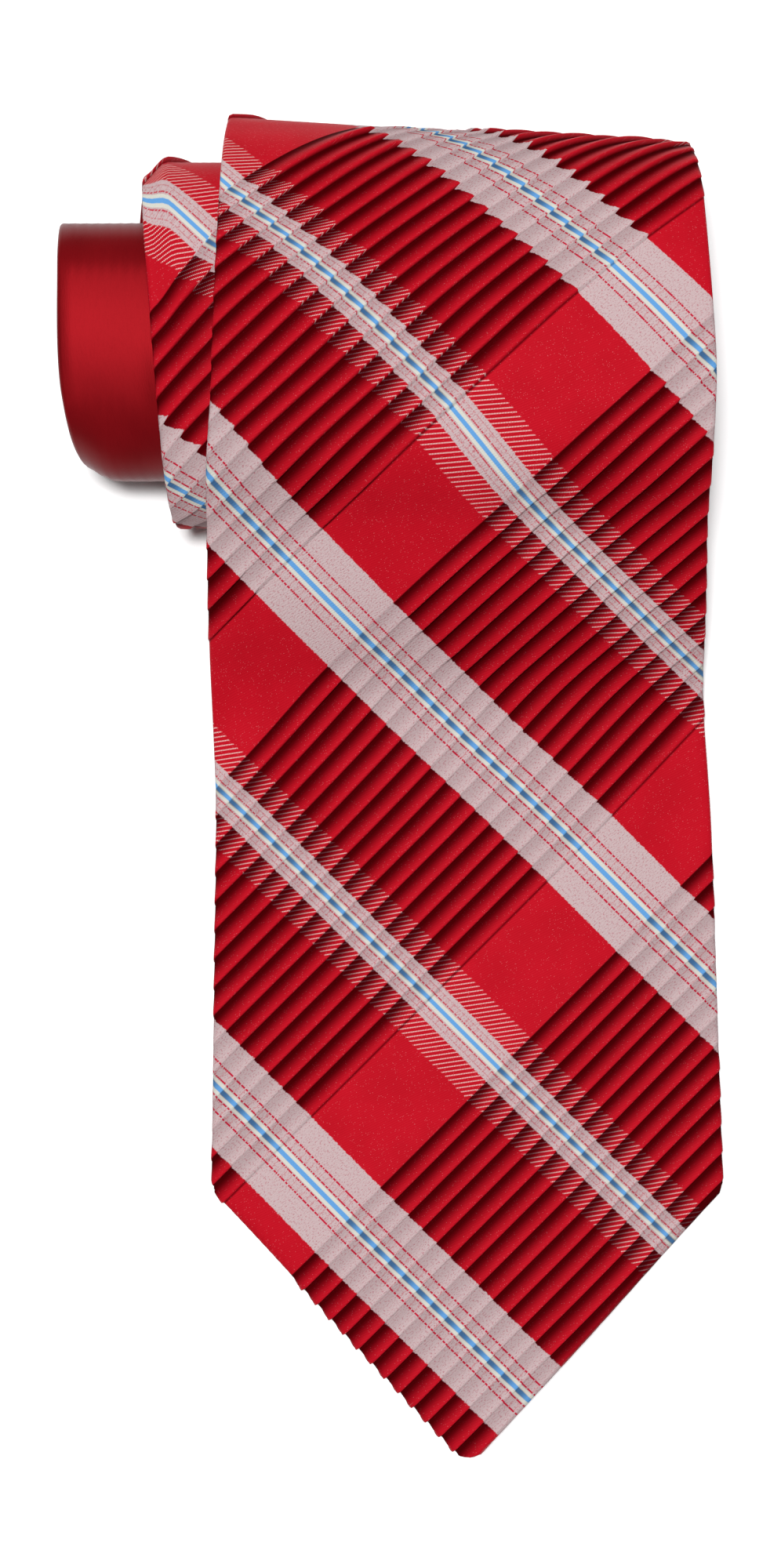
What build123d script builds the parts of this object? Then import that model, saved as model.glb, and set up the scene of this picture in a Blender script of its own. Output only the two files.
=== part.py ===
from build123d import *
import math
import os
from collections import namedtuple

# A necktie folded in half at the neck, rolled up flat, with its wide blade laid out to the tip.
#
# The tie is two strands that lie back to back: the blade strand outside, the tail strand inside. Both
# follow one spiral line in the YZ plane. A pass is a stretch between two bends; even passes run along the
# top of the roll towards +Y, odd passes run back along the bottom. Offsets are measured outwards from the
# spiral line.

os.makedirs("parts", exist_ok=True)

# Plan of the laid-out blade (mm, +Y from the tip towards the roll)
tip_y = -121.15
corner_length = 51.0
hinge_y = 10.0
split_gap = 0.3
blade_tack_length = 100.0
tail_short = 14.0
tail_corner_length = 21.0
tail_tack_length = 60.0

# The strand's width and centre line against the distance from the blade's tip
blade_widths = [(corner_length, 95.0), (207.0, 88.0), (640.0, 42.0), (710.0, 40.0)]
tail_widths = [(35.0, 45.0), (300.0, 40.0), (710.0, 40.0)]
centre_line = [(0.0, 13.55), (51.0, 13.15), (255.0, 11.25), (337.0, -3.15), (410.0, -12.55)]
centre_line += [(473.0, -24.95), (525.0, -33.55), (710.0, -33.75)]

# Layers
layer_gap = 0.1
blade_thickness = 1.6
blade_silk = 0.3
blade_flat_z = 2.3
tail_thickness = 1.2
tail_silk = 0.25
lining_play = 0.05
hem = 1.5
slit_width = 0.4
thread = 0.25

# The spiral: places of its far and near bends, and the slope down to the table
far_bends_y = [106.0, 101.0, 95.0, 94.0, 94.0]
near_bends_y = [63.8, 68.8, 70.8, 70.8]
core_gap = 0.3
core_end_y = 72.0
core_wall = 1.0
rise_angle = 34.0
foot_radius = 25.0
seam_pass = 3
blade_seam_y = 85.0
tail_seam_y = 90.0

# Small pieces
loop_length, loop_width, loop_thickness, loop_height = 45.0, 11.0, 0.3, 0.75
loop_pad = 4.0
loop_y = -6.0
maker_label_size = (48.0, 18.0, 0.25)
maker_label_y = -52.0
care_label_size = (26.0, 14.0, 0.2)
care_label_y = -30.0
tack_size = (5.0, 1.2, 0.3)
stitch_size = (2.0, 0.4, 0.06)
thread_loop_radius = 4.0
join_stitch_size = (1.2, 0.5, 1.9)
join_stitch_count = 7
loop_stitch_rows = 4
label_stitch_pitch = 3.0
blade_tipping_stitch_count = 16
tail_tipping_stitch_count = 6
bare_stitches = 2

# Derived sizes
turn_pitch = blade_thickness + tail_thickness + 2 * layer_gap
pass_count = len(far_bends_y) + len(near_bends_y) + 1
crest_z = pass_count * turn_pitch + core_gap
low_line_z = blade_thickness + layer_gap / 2
high_line_z = crest_z - low_line_z
reach = 40.0
wide = 200.0

Bend = namedtuple("Bend", "y z radius")
Strand = namedtuple("Strand", "back front flat_z widths silk")


def make_bends():
    """The spiral's bends in the order they are met, far and near by turns."""
    bends = []
    for index in range(pass_count - 1):
        turn = index // 2
        is_near = index % 2
        y = near_bends_y[turn] if is_near else far_bends_y[turn]
        z = (high_line_z + low_line_z - is_near * turn_pitch) / 2
        radius = (high_line_z - low_line_z - is_near * turn_pitch) / 2 - turn * turn_pitch
        bends.append(Bend(y, z, radius))
    return bends


bends = make_bends()
shoulder = Bend(bends[1].y, bends[1].z, bends[1].radius + turn_pitch)

# back and front are the offsets of the strand's two faces; the two backs face each other
blade = Strand(
    layer_gap / 2,
    layer_gap / 2 + blade_thickness,
    blade_flat_z + blade_thickness / 2,
    blade_widths,
    blade_silk,
)
tail = Strand(-layer_gap / 2, -layer_gap / 2 - tail_thickness, tail_thickness / 2, tail_widths, tail_silk)


def ring_point(bend, offset, angle):
    """Point of a bend's arc at an offset from the spiral line."""
    radius = bend.radius + offset
    turn = math.radians(angle)
    return (bend.y + radius * math.cos(turn), bend.z + radius * math.sin(turn))


def flat_z(strand, offset):
    """Height of a strand's offset line where the strand lies flat on the table."""
    return strand.flat_z + offset - (strand.back + strand.front) / 2


def foot(strand, offset):
    """The arc where a strand's flat stretch turns up into the slope: its start, middle and end."""
    slope = math.radians(rise_angle)
    middle = (strand.back + strand.front) / 2
    drop = (strand.flat_z - shoulder.z) * math.cos(slope) - shoulder.radius - middle
    crossing_y = shoulder.y + drop / math.sin(slope)
    centre = (crossing_y - foot_radius * math.tan(slope / 2), strand.flat_z + foot_radius)
    radius = foot_radius - (offset - middle)
    turns = [0, slope / 2, slope]
    return [(centre[0] + radius * math.sin(t), centre[1] - radius * math.cos(t)) for t in turns]


def piecewise(table, s):
    """Straight-line interpolation in a list of (distance, value) pairs."""
    for (s0, v0), (s1, v1) in zip(table, table[1:]):
        if s <= s1:
            return v0 + (v1 - v0) * max(s - s0, 0) / (s1 - s0)
    return table[-1][1]


def bend_distances():
    """Distance from the blade's tip to the middle of each bend, along the spiral line."""
    start, _, end = foot(blade, 0)
    shoulder_start = ring_point(shoulder, 0, 90 + rise_angle)
    s = start[0] - tip_y + foot_radius * math.radians(rise_angle)
    s += math.dist(end, shoulder_start) + shoulder.radius * math.radians(rise_angle)
    s += bends[0].y - shoulder.y
    distances = [s + bends[0].radius * math.pi / 2]
    for before, after in zip(bends, bends[1:]):
        straight = abs(after.y - before.y)
        distances.append(distances[-1] + (before.radius + after.radius) * math.pi / 2 + straight)
    return distances


distances = bend_distances()
fold_distance = distances[-1] + bends[-1].radius * math.pi / 2 + bends[-1].y - core_end_y
print("length of the spiral line to the neck fold", round(fold_distance, 1))
print("length of the whole tie", round(2 * fold_distance - tail_short, 1))
print("bend distances", [round(s) for s in distances])


def draw_pass(strand, index, offset):
    """Draw one offset line of a pass in an open BuildLine; returns its first and last points."""
    if index == 0:
        arc_start, arc_middle, arc_end = foot(strand, offset)
        first = (tip_y - reach, flat_z(strand, offset))
        crest_start = ring_point(shoulder, offset, 90)
        Line(first, arc_start)
        ThreePointArc(arc_start, arc_middle, arc_end)
        Line(arc_end, ring_point(shoulder, offset, 90 + rise_angle))
        ThreePointArc(*[ring_point(shoulder, offset, 90 + turn) for turn in (rise_angle, rise_angle / 2, 0)])
        Line(crest_start, ring_point(bends[0], offset, 90))
        ThreePointArc(*[ring_point(bends[0], offset, angle) for angle in (90, 45, 0)])
        return first, ring_point(bends[0], offset, 0)
    on_top = index % 2 == 0
    start_angles = (180, 135, 90) if on_top else (0, -45, -90)
    before = bends[index - 1]
    ThreePointArc(*[ring_point(before, offset, angle) for angle in start_angles])
    run_start = ring_point(before, offset, start_angles[2])
    first = ring_point(before, offset, start_angles[0])
    if index == pass_count - 1:
        last = (core_end_y, run_start[1])
        Line(run_start, last)
        return first, last
    after = bends[index]
    end_angles = (90, 45, 0) if on_top else (-90, -135, -180)
    Line(run_start, ring_point(after, offset, end_angles[0]))
    ThreePointArc(*[ring_point(after, offset, angle) for angle in end_angles])
    return first, ring_point(after, offset, end_angles[2])


def station(index, y):
    """Distance from the blade's tip at y on a pass, constant over the bends at its ends."""
    if index == 0:
        start_y, start_s = hinge_y, hinge_y - tip_y
    else:
        start_y, start_s = bends[index - 1].y, distances[index - 1]
    last = index == pass_count - 1
    end_y, end_s = (core_end_y, fold_distance) if last else (bends[index].y, distances[index])
    share = (y - start_y) / (end_y - start_y)
    return start_s + (end_s - start_s) * min(max(share, 0), 1)


def plan_points(index, low_y, high_y, half_width):
    """Corners of a pass seen from above; half_width gives the half width at a distance."""
    start_y = hinge_y if index == 0 else bends[index - 1].y
    end_y = core_end_y if index == pass_count - 1 else bends[index].y
    levels = sorted({low_y, high_y} | {y for y in (start_y, end_y) if low_y < y < high_y})
    spots = [(y, station(index, y)) for y in levels]
    right = [(piecewise(centre_line, s) + half_width(s), y) for y, s in spots]
    left = [(piecewise(centre_line, s) - half_width(s), y) for y, s in reversed(spots)]
    return right + left


def band(strand, index, low, high, half_width, low_y=-wide, high_y=wide):
    """One pass of a strand between two offsets, as wide as half_width says."""
    with BuildPart() as piece:
        with BuildSketch(Plane.YZ):
            with BuildLine():
                low_first, low_last = draw_pass(strand, index, low)
                high_first, high_last = draw_pass(strand, index, high)
                Line(low_first, high_first)
                Line(low_last, high_last)
            make_face()
        extrude(amount=wide, both=True)
        with BuildSketch(Plane.XY):
            with BuildLine():
                Polyline(*plan_points(index, low_y, high_y, half_width), close=True)
            make_face()
        extrude(amount=wide, mode=Mode.INTERSECT)
    return piece.part


def full_width(strand, inset=0.0):
    return lambda s: piecewise(strand.widths, s) / 2 - inset


def strip_width(width):
    return lambda s: width / 2


def layer_offsets(strand, inset):
    """The strand's two faces moved into it by an inset, lowest first."""
    direction = 1 if strand.front > strand.back else -1
    return sorted((strand.back + direction * inset, strand.front - direction * inset))


def back_offsets(strand, outside, inside):
    """A layer from the outside to the inside of the back silk."""
    direction = 1 if strand.front > strand.back else -1
    return sorted((strand.back + direction * outside, strand.back + direction * inside))


def layer_bands(strand, spans, offsets, half_width):
    """The bands of one layer; spans lists (pass, lowest y, highest y)."""
    low, high = offsets
    return [band(strand, index, low, high, half_width, low_y, high_y) for index, low_y, high_y in spans]


def envelope_bands(strand, spans):
    """Outer solid, then the hollow for the interlining and the slit of the back seam."""
    outer = layer_bands(strand, spans, layer_offsets(strand, 0), full_width(strand))
    hollow = layer_bands(strand, spans, layer_offsets(strand, strand.silk), full_width(strand, strand.silk))
    slit_offsets = back_offsets(strand, -thread, 2 * strand.silk)
    slit = layer_bands(strand, spans, slit_offsets, strip_width(slit_width))
    return outer, hollow + slit


def finish(piece, label):
    """Label a finished piece and write it."""
    piece.part.label = label
    export_step(piece.part, f"parts/{label}.step")


# Where each panel lies on the spiral
half_gap = split_gap / 2
blade_spans = [(0, hinge_y + half_gap, wide)]
blade_spans += [(index, -wide, wide) for index in range(1, seam_pass)]
blade_spans += [(seam_pass, blade_seam_y + half_gap, wide)]
later_spans = [(index, -wide, wide) for index in range(seam_pass + 1, pass_count)]
neck_blade_spans = [(seam_pass, -wide, blade_seam_y - half_gap)] + later_spans
neck_tail_spans = [(seam_pass, -wide, tail_seam_y - half_gap)] + later_spans
tail_roll_spans = [(0, hinge_y, wide)]
tail_roll_spans += [(index, -wide, wide) for index in range(1, seam_pass)]
tail_roll_spans += [(seam_pass, tail_seam_y + half_gap, wide)]


def end_points(strand, end_y, corner, cut_y):
    """Pointed end of a strand seen from above, from its tip to cut_y."""
    tip_s = end_y - tip_y
    points = [(piecewise(centre_line, tip_s), end_y)]
    for y in (end_y + corner, cut_y):
        s = y - tip_y
        points.append((piecewise(centre_line, s) + full_width(strand)(s), y))
    for y in (cut_y, end_y + corner):
        s = y - tip_y
        points.append((piecewise(centre_line, s) - full_width(strand)(s), y))
    return points


def opening_points(strand, end_y, corner, tack):
    """The kite that the back flaps leave open: seam end, right corner, tip, left corner."""
    points = end_points(strand, end_y, corner, end_y + tack)
    tip, right, left = points[0], points[1], points[4]
    seam_end = (piecewise(centre_line, end_y + tack - tip_y), end_y + tack)
    return [seam_end, right, tip, left]


def flat_piece(points, inset, low_z, high_z, cut_y=wide):
    """A flat layer of a pointed end, inset from its outline and cut square at cut_y."""
    with BuildPart() as piece:
        with BuildSketch(Plane.XY.offset(low_z)):
            with BuildLine():
                Polyline(*points, close=True)
            make_face()
            if inset:
                offset(amount=-inset, kind=Kind.INTERSECTION)
            with Locations((0, cut_y + wide / 2)):
                Rectangle(2 * wide, wide, mode=Mode.SUBTRACT)
        extrude(amount=high_z - low_z)
    return piece.part


def pointed_end(strand, end_y, corner, tack, cut_y, back_z, front_z):
    """Solid, hollow, opening, slit and the lining layers of a strand's flat pointed end."""
    inward = 1 if front_z > back_z else -1
    points = end_points(strand, end_y, corner, cut_y + reach)
    kite = opening_points(strand, end_y, corner, tack)
    silk = strand.silk
    levels = sorted((back_z, front_z))
    hollow = sorted((back_z + inward * silk, front_z - inward * silk))
    lining = sorted((back_z + inward * (silk + lining_play), front_z - inward * (silk + lining_play)))
    back = sorted((back_z, back_z + inward * silk))
    centre = piecewise(centre_line, end_y + tack - tip_y)
    cut_centre = piecewise(centre_line, cut_y + reach - tip_y)
    half_slit = slit_width / 2
    slit = [(centre - half_slit, end_y + tack - hem), (centre + half_slit, end_y + tack - hem)]
    slit += [(cut_centre + half_slit, cut_y + reach), (cut_centre - half_slit, cut_y + reach)]
    return {
        "outer": flat_piece(points, 0, *levels, cut_y),
        "hollow": flat_piece(points, silk, *hollow, cut_y),
        "interlining": flat_piece(points, silk + lining_play, *lining, cut_y),
        "opening": flat_piece(kite, hem, *back),
        "tipping": flat_piece(kite, hem + lining_play, *back),
        "slit": flat_piece(slit, 0, *back, cut_y),
        "slip_stitch": flat_piece(slit, (slit_width - thread) / 2, *back, cut_y),
    }


blade_back_z = blade_flat_z
blade_end = pointed_end(
    blade,
    tip_y,
    corner_length,
    blade_tack_length,
    hinge_y - half_gap,
    blade_back_z,
    blade_back_z + blade_thickness,
)
tail_tip_y = tip_y + tail_short
tail_end = pointed_end(
    tail,
    tail_tip_y,
    tail_corner_length,
    tail_tack_length,
    hinge_y,
    tail_thickness,
    0.0,
)

# Panels
with BuildPart() as blade_free_shell:
    add(blade_end["outer"])
    add(blade_end["hollow"], mode=Mode.SUBTRACT)
    add(blade_end["opening"], mode=Mode.SUBTRACT)
    add(blade_end["slit"], mode=Mode.SUBTRACT)
finish(blade_free_shell, "blade_free_shell")

blade_outer, blade_hollow = envelope_bands(blade, blade_spans)
with BuildPart() as blade_rolled_shell:
    add(blade_outer)
    add(blade_hollow, mode=Mode.SUBTRACT)
finish(blade_rolled_shell, "blade_rolled_shell")

fold_low_z = low_line_z + (pass_count // 2 - 1) * turn_pitch - blade_thickness - layer_gap / 2
fold_height = blade_thickness + tail_thickness + layer_gap
fold_left = piecewise(centre_line, fold_distance) - full_width(blade)(fold_distance)
fold_right = fold_left + 2 * full_width(blade)(fold_distance)
neck_outer, neck_hollow = envelope_bands(blade, neck_blade_spans)
neck_tail_outer, neck_tail_hollow = envelope_bands(tail, neck_tail_spans)
chamber_depth = core_wall * 2
with BuildPart() as neck_shell:
    add(neck_outer + neck_tail_outer)
    with BuildSketch(Plane.XY.offset(fold_low_z)):
        with Locations(((fold_left + fold_right) / 2, core_end_y + core_wall / 2)):
            Rectangle(fold_right - fold_left, core_wall)
    extrude(amount=fold_height)
    add(neck_hollow + neck_tail_hollow, mode=Mode.SUBTRACT)
    with BuildSketch(Plane.XY.offset(fold_low_z + blade_silk)):
        with Locations(((fold_left + fold_right) / 2, core_end_y + blade_silk + chamber_depth / 2)):
            Rectangle(fold_right - fold_left - 2 * blade_silk, chamber_depth)
    extrude(amount=fold_height - blade_silk - tail_silk, mode=Mode.SUBTRACT)
finish(neck_shell, "neck_shell")

tail_outer, tail_hollow = envelope_bands(tail, tail_roll_spans)
with BuildPart() as tail_shell:
    add(tail_end["outer"])
    add(tail_outer)
    add(tail_end["hollow"], mode=Mode.SUBTRACT)
    add(tail_hollow, mode=Mode.SUBTRACT)
    add(tail_end["opening"], mode=Mode.SUBTRACT)
    add(tail_end["slit"], mode=Mode.SUBTRACT)
finish(tail_shell, "tail_shell")

# Interlinings, each one length of wool from its pointed end to the neck fold
lining_end_y = core_end_y + blade_silk + chamber_depth
roll_spans = [(index, -wide, wide) for index in range(1, pass_count - 1)]
last_span = [(pass_count - 1, lining_end_y, wide)]


def lining_bands(strand, first_y):
    inset = strand.silk + lining_play
    spans = [(0, first_y, wide)] + roll_spans + last_span
    return layer_bands(strand, spans, layer_offsets(strand, inset), full_width(strand, inset))


with BuildPart() as blade_free_interlining:
    add(blade_end["interlining"])
finish(blade_free_interlining, "blade_free_interlining")

with BuildPart() as blade_rolled_interlining:
    add(lining_bands(blade, hinge_y + half_gap))
finish(blade_rolled_interlining, "blade_rolled_interlining")

with BuildPart() as tail_interlining:
    add(tail_end["interlining"])
    add(lining_bands(tail, hinge_y))
finish(tail_interlining, "tail_interlining")

with BuildPart() as interlining_join_stitch:
    fold_centre = ((fold_left + fold_right) / 2, core_end_y + blade_silk + core_wall)
    stitch_step = (fold_right - fold_left - 2 * core_wall) / join_stitch_count
    with BuildSketch(Plane.XY.offset(fold_low_z + (fold_height - join_stitch_size[2]) / 2)):
        with Locations(fold_centre):
            with GridLocations(stitch_step, 1, join_stitch_count, 1):
                Rectangle(join_stitch_size[0], join_stitch_size[1])
    extrude(amount=join_stitch_size[2])
finish(interlining_join_stitch, "interlining_join_stitch")

# Tippings
with BuildPart() as blade_tipping:
    add(blade_end["tipping"])
finish(blade_tipping, "blade_tipping")

with BuildPart() as tail_tipping:
    add(tail_end["tipping"])
finish(tail_tipping, "tail_tipping")


# Seams and threads
def seam_ring(strand, y):
    """The turned edges of a seam between two panels, a thin ring round the interlining."""
    span = [(seam_pass, y - half_gap + lining_play, y + half_gap - lining_play)]
    return envelope_bands(strand, span)


for label, strand, seam_y in (
    ("blade_neck_seam", blade, blade_seam_y),
    ("neck_tail_seam", tail, tail_seam_y),
):
    ring_outer, ring_hollow = seam_ring(strand, seam_y)
    with BuildPart() as seam:
        add(ring_outer)
        add(ring_hollow, mode=Mode.SUBTRACT)
    finish(seam, label)

with BuildPart() as blade_slip_stitch:
    add(blade_end["slip_stitch"])
finish(blade_slip_stitch, "blade_slip_stitch")

blade_thread_spans = [(0, hinge_y + half_gap, wide)] + roll_spans + last_span
tail_thread_spans = [(0, hinge_y, wide)] + roll_spans + last_span
with BuildPart() as roll_slip_stitch:
    add(layer_bands(blade, blade_thread_spans, back_offsets(blade, 0, blade_silk), strip_width(thread)))
    add(layer_bands(tail, tail_thread_spans, back_offsets(tail, 0, tail_silk), strip_width(thread)))
    add(tail_end["slip_stitch"])
finish(roll_slip_stitch, "roll_slip_stitch")


def centre_at(y):
    """Centre of the flat strands at y."""
    return piecewise(centre_line, y - tip_y)


blade_tack_y = tip_y + blade_tack_length
tail_tack_y = tail_tip_y + tail_tack_length
for label, tack_y, low_z in (
    ("blade_bar_tack", blade_tack_y, blade_back_z - tack_size[2]),
    ("tail_bar_tack", tail_tack_y, tail_thickness),
):
    with BuildPart() as bar_tack:
        with BuildSketch(Plane.XY.offset(low_z)):
            with Locations((centre_at(tack_y), tack_y + tack_size[1])):
                SlotOverall(tack_size[0], tack_size[1])
        extrude(amount=tack_size[2])
    finish(bar_tack, label)

with BuildPart() as slip_stitch_loop:
    with BuildSketch(Plane.XY.offset(blade_back_z - thread)):
        with Locations((centre_at(blade_tack_y), blade_tack_y - thread_loop_radius - tack_size[1])):
            Circle(thread_loop_radius)
            Circle(thread_loop_radius - thread, mode=Mode.SUBTRACT)
    extrude(amount=thread)
finish(slip_stitch_loop, "slip_stitch_loop")

# Keeper loop: a flat band with a sewn pad at each end
loop_centre = (centre_at(loop_y), loop_y)
with BuildPart() as keeper_loop:
    with BuildSketch(Plane.XY.offset(blade_back_z - loop_height)):
        with Locations(loop_centre):
            Rectangle(loop_length, loop_width)
    extrude(amount=loop_height)
    with BuildSketch(Plane.XY.offset(blade_back_z - loop_height + loop_thickness)):
        with Locations(loop_centre):
            Rectangle(loop_length - 2 * loop_pad, loop_width)
    extrude(amount=loop_height, mode=Mode.SUBTRACT)
finish(keeper_loop, "keeper_loop")

with BuildPart() as keeper_loop_stitches:
    with BuildSketch(Plane.XY.offset(blade_back_z - loop_height - stitch_size[2])):
        with Locations(loop_centre):
            with GridLocations(loop_length - loop_pad, loop_width / loop_stitch_rows, 2, loop_stitch_rows):
                Rectangle(stitch_size[0], stitch_size[1])
    extrude(amount=stitch_size[2])
finish(keeper_loop_stitches, "keeper_loop_stitches")


def label_pieces(label, size, centre, low_z, stitch_z):
    """A blank woven label and the stitches along its two short ends."""
    with BuildPart() as woven:
        with BuildSketch(Plane.XY.offset(low_z)):
            with Locations(centre):
                Rectangle(size[0], size[1])
        extrude(amount=size[2])
    finish(woven, label)
    rows = int(size[1] // label_stitch_pitch)
    with BuildPart() as stitches:
        with BuildSketch(Plane.XY.offset(stitch_z)):
            with Locations(centre):
                with GridLocations(size[0] - 2 * stitch_size[0], size[1] / rows, 2, rows):
                    Rectangle(stitch_size[1], stitch_size[0])
        extrude(amount=stitch_size[2])
    finish(stitches, f"{label}_stitches")


maker_label_z = blade_back_z - maker_label_size[2]
label_pieces(
    "maker_label",
    maker_label_size,
    (centre_at(maker_label_y), maker_label_y),
    maker_label_z,
    maker_label_z - stitch_size[2],
)
care_label_top = tail_thickness + care_label_size[2]
label_pieces(
    "care_label",
    care_label_size,
    (centre_at(care_label_y), care_label_y),
    tail_thickness,
    care_label_top,
)


def tipping_stitches(label, strand, end_y, corner, tack, count, low_z):
    """Small slanted stitches that catch the tipping to the hem along both tip edges."""
    _, right, tip, left = opening_points(strand, end_y, corner, tack)
    with BuildPart() as stitches:
        with BuildSketch(Plane.XY.offset(low_z)):
            for corner_point in (left, right):
                along = Vector(*corner_point) - Vector(*tip)
                lean = math.degrees(math.atan2(along.Y, along.X))
                inward = Vector(-along.Y, along.X).normalized() * (hem if corner_point is right else -hem)
                for step in range(count):
                    share = (step + bare_stitches) / (count + bare_stitches + 1)
                    place = Vector(*tip) + along * share + inward
                    with Locations(Location((place.X, place.Y, 0), (0, 0, lean))):
                        Rectangle(stitch_size[0], stitch_size[1])
        extrude(amount=stitch_size[2])
    finish(stitches, label)


tipping_stitches(
    "blade_tipping_stitches",
    blade,
    tip_y,
    corner_length,
    blade_tack_length,
    blade_tipping_stitch_count,
    blade_back_z - stitch_size[2],
)
tipping_stitches(
    "tail_tipping_stitches",
    tail,
    tail_tip_y,
    tail_corner_length,
    tail_tack_length,
    tail_tipping_stitch_count,
    tail_thickness,
)
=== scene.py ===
"""A pleated plaid silk necktie, folded in half, rolled up flat and laid down with its blade out to the tip.

The whole tie is one strand, described by a path in the YZ plane from the blade's tip through the roll to the
neck fold and back to the narrow end's tip. Every cloth piece is a grid on that strand: a fabric point has a
distance S along the tie and a distance X across it, measured on the unfolded cloth, so |X| beyond the folded
edge lies on the back. Lengths are in millimetres until the mesh is made.
"""

import math
from collections import namedtuple

import bmesh
import bpy
import numpy as np
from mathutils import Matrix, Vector


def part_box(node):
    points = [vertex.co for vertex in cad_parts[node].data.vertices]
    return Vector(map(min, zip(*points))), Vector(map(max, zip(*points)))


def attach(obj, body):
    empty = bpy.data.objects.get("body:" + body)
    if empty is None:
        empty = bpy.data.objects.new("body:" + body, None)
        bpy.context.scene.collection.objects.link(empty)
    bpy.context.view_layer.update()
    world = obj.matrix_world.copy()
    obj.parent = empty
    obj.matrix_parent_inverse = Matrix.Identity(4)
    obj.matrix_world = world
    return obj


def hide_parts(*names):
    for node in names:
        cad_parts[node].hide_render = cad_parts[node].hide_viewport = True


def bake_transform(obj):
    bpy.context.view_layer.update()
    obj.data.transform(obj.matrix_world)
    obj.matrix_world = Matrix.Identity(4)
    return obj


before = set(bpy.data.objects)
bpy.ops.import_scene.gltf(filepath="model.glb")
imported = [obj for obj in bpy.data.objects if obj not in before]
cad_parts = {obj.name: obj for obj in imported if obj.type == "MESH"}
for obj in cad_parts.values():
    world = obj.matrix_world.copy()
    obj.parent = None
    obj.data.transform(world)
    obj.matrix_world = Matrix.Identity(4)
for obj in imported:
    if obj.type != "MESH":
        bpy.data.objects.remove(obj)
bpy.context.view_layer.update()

MM = 0.001
ROOT2 = math.sqrt(2)

# ---- Sizes of the tie (mm), the same driving sizes as the CAD model's ----
TIP_Y = -121.15
CORNER = 51.0
TAIL_CORNER = 21.0
TAIL_SHORT = 14.0
BLADE_WIDTHS = [(CORNER, 95.0), (207.0, 88.0), (640.0, 42.0), (710.0, 40.0)]
TAIL_WIDTHS = [(35.0, 45.0), (300.0, 40.0), (710.0, 40.0)]
CENTRE_LINE = [(0.0, 13.55), (51.0, 13.15), (255.0, 11.25), (337.0, -3.15), (410.0, -12.55)]
CENTRE_LINE += [(473.0, -24.95), (525.0, -33.55), (710.0, -33.75)]
BLADE_THICK = 1.6
TAIL_THICK = 1.2
GAP = 0.1
FLAT_BACK_Z = 2.3
FAR_BENDS_Y = [106.0, 101.0, 95.0, 94.0, 94.0]
NEAR_BENDS_Y = [63.8, 68.8, 70.8, 70.8]
CORE_GAP = 0.3
CORE_END_Y = 72.0
RISE = math.radians(34.0)
FOOT_RADIUS = 25.0
SEAM_STATION = 447.0

PITCH = BLADE_THICK + TAIL_THICK + 2 * GAP
PASSES = len(FAR_BENDS_Y) + len(NEAR_BENDS_Y) + 1
LOW_Z = BLADE_THICK + GAP / 2
HIGH_Z = PASSES * PITCH + CORE_GAP - LOW_Z
BLADE_OFFSET = (BLADE_THICK + GAP) / 2
TAIL_OFFSET = -(TAIL_THICK + GAP) / 2

# A tack and then the slip stitch follow the end of the back's open V
TACK_PAST_V = 1.2
STITCH_PAST_V = 2.5
THREAD_RADIUS = 0.12
FINE_THREAD_RADIUS = 0.1

# Stretches of the strand, by station: where each begins, is full, starts to fade and is over
Stretch = namedtuple("Stretch", "begins full fades over")
RISE_WANDER = Stretch(115.0, 150.0, 180.0, 205.0)
NECK_WANDER = Stretch(452.0, 482.0, 490.0, 526.0)
OUTER_FAR_BEND = Stretch(205.0, 250.0, 275.0, 310.0)
SECOND_NEAR_BEND = Stretch(370.0, 400.0, 425.0, 450.0)
STRETCHED_RISE = Stretch(130.0, 198.0, 213.0, 250.0)
LIFTED_FOLD = Stretch(92.0, 110.0, 155.0, 175.0)
RISE_SHIFT = 1.2
NECK_SHIFT = 2.7

# The pattern: stripes run along u (down and right), pleats run across them, along v (down and left).
# A stripe has the v of its middle, then distances from there: the half width of its grey, how it stiffens the
# pleats (least height, from, to), its ladder of rungs (inner, outer), its dotted red lines (distance, half
# width, strength), and the half widths of its cream and blue.
Stripe = namedtuple("Stripe", "middle grey stiff ladder lines cream blue")
WIDE = Stripe(-16.3, 8.55, (0.3, 7.4, 9.4), (1.5, 3.4), ((3.45, 0.17, 1.0), (1.42, 0.15, 1.0)), 1.12, 0.45)
NARROW = Stripe(23.0, 3.35, (0.55, 2.6, 4.2), (1.5, 2.6), ((1.36, 0.13, 0.9), (2.5, 0.08, 0.5)), 1.0, 0.38)
STRIPES = (WIDE, NARROW)
STRIPE_PERIOD = 78.8
PATTERN_ACROSS = 4.25
PATTERN_ALONG = 2.05
PLEAT_GROUP_START = -22.3
PLEAT_GROUP_PERIOD = 73.6
PLEATS_PER_GROUP = 15
PLEAT_GROUP_LENGTH = 55.4
PLEAT_PITCH = PLEAT_GROUP_LENGTH / PLEATS_PER_GROUP
PLEAT_HEIGHT = 0.8


# ---- The strand's path ----
def bend_list():
    """(y, z, radius) of the spiral line's bends, far and near by turns."""
    bends = []
    for index in range(PASSES - 1):
        turn, is_near = index // 2, index % 2
        y = NEAR_BENDS_Y[turn] if is_near else FAR_BENDS_Y[turn]
        z = (HIGH_Z + LOW_Z - is_near * PITCH) / 2
        bends.append((y, z, (HIGH_Z - LOW_Z - is_near * PITCH) / 2 - turn * PITCH))
    return bends


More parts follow.
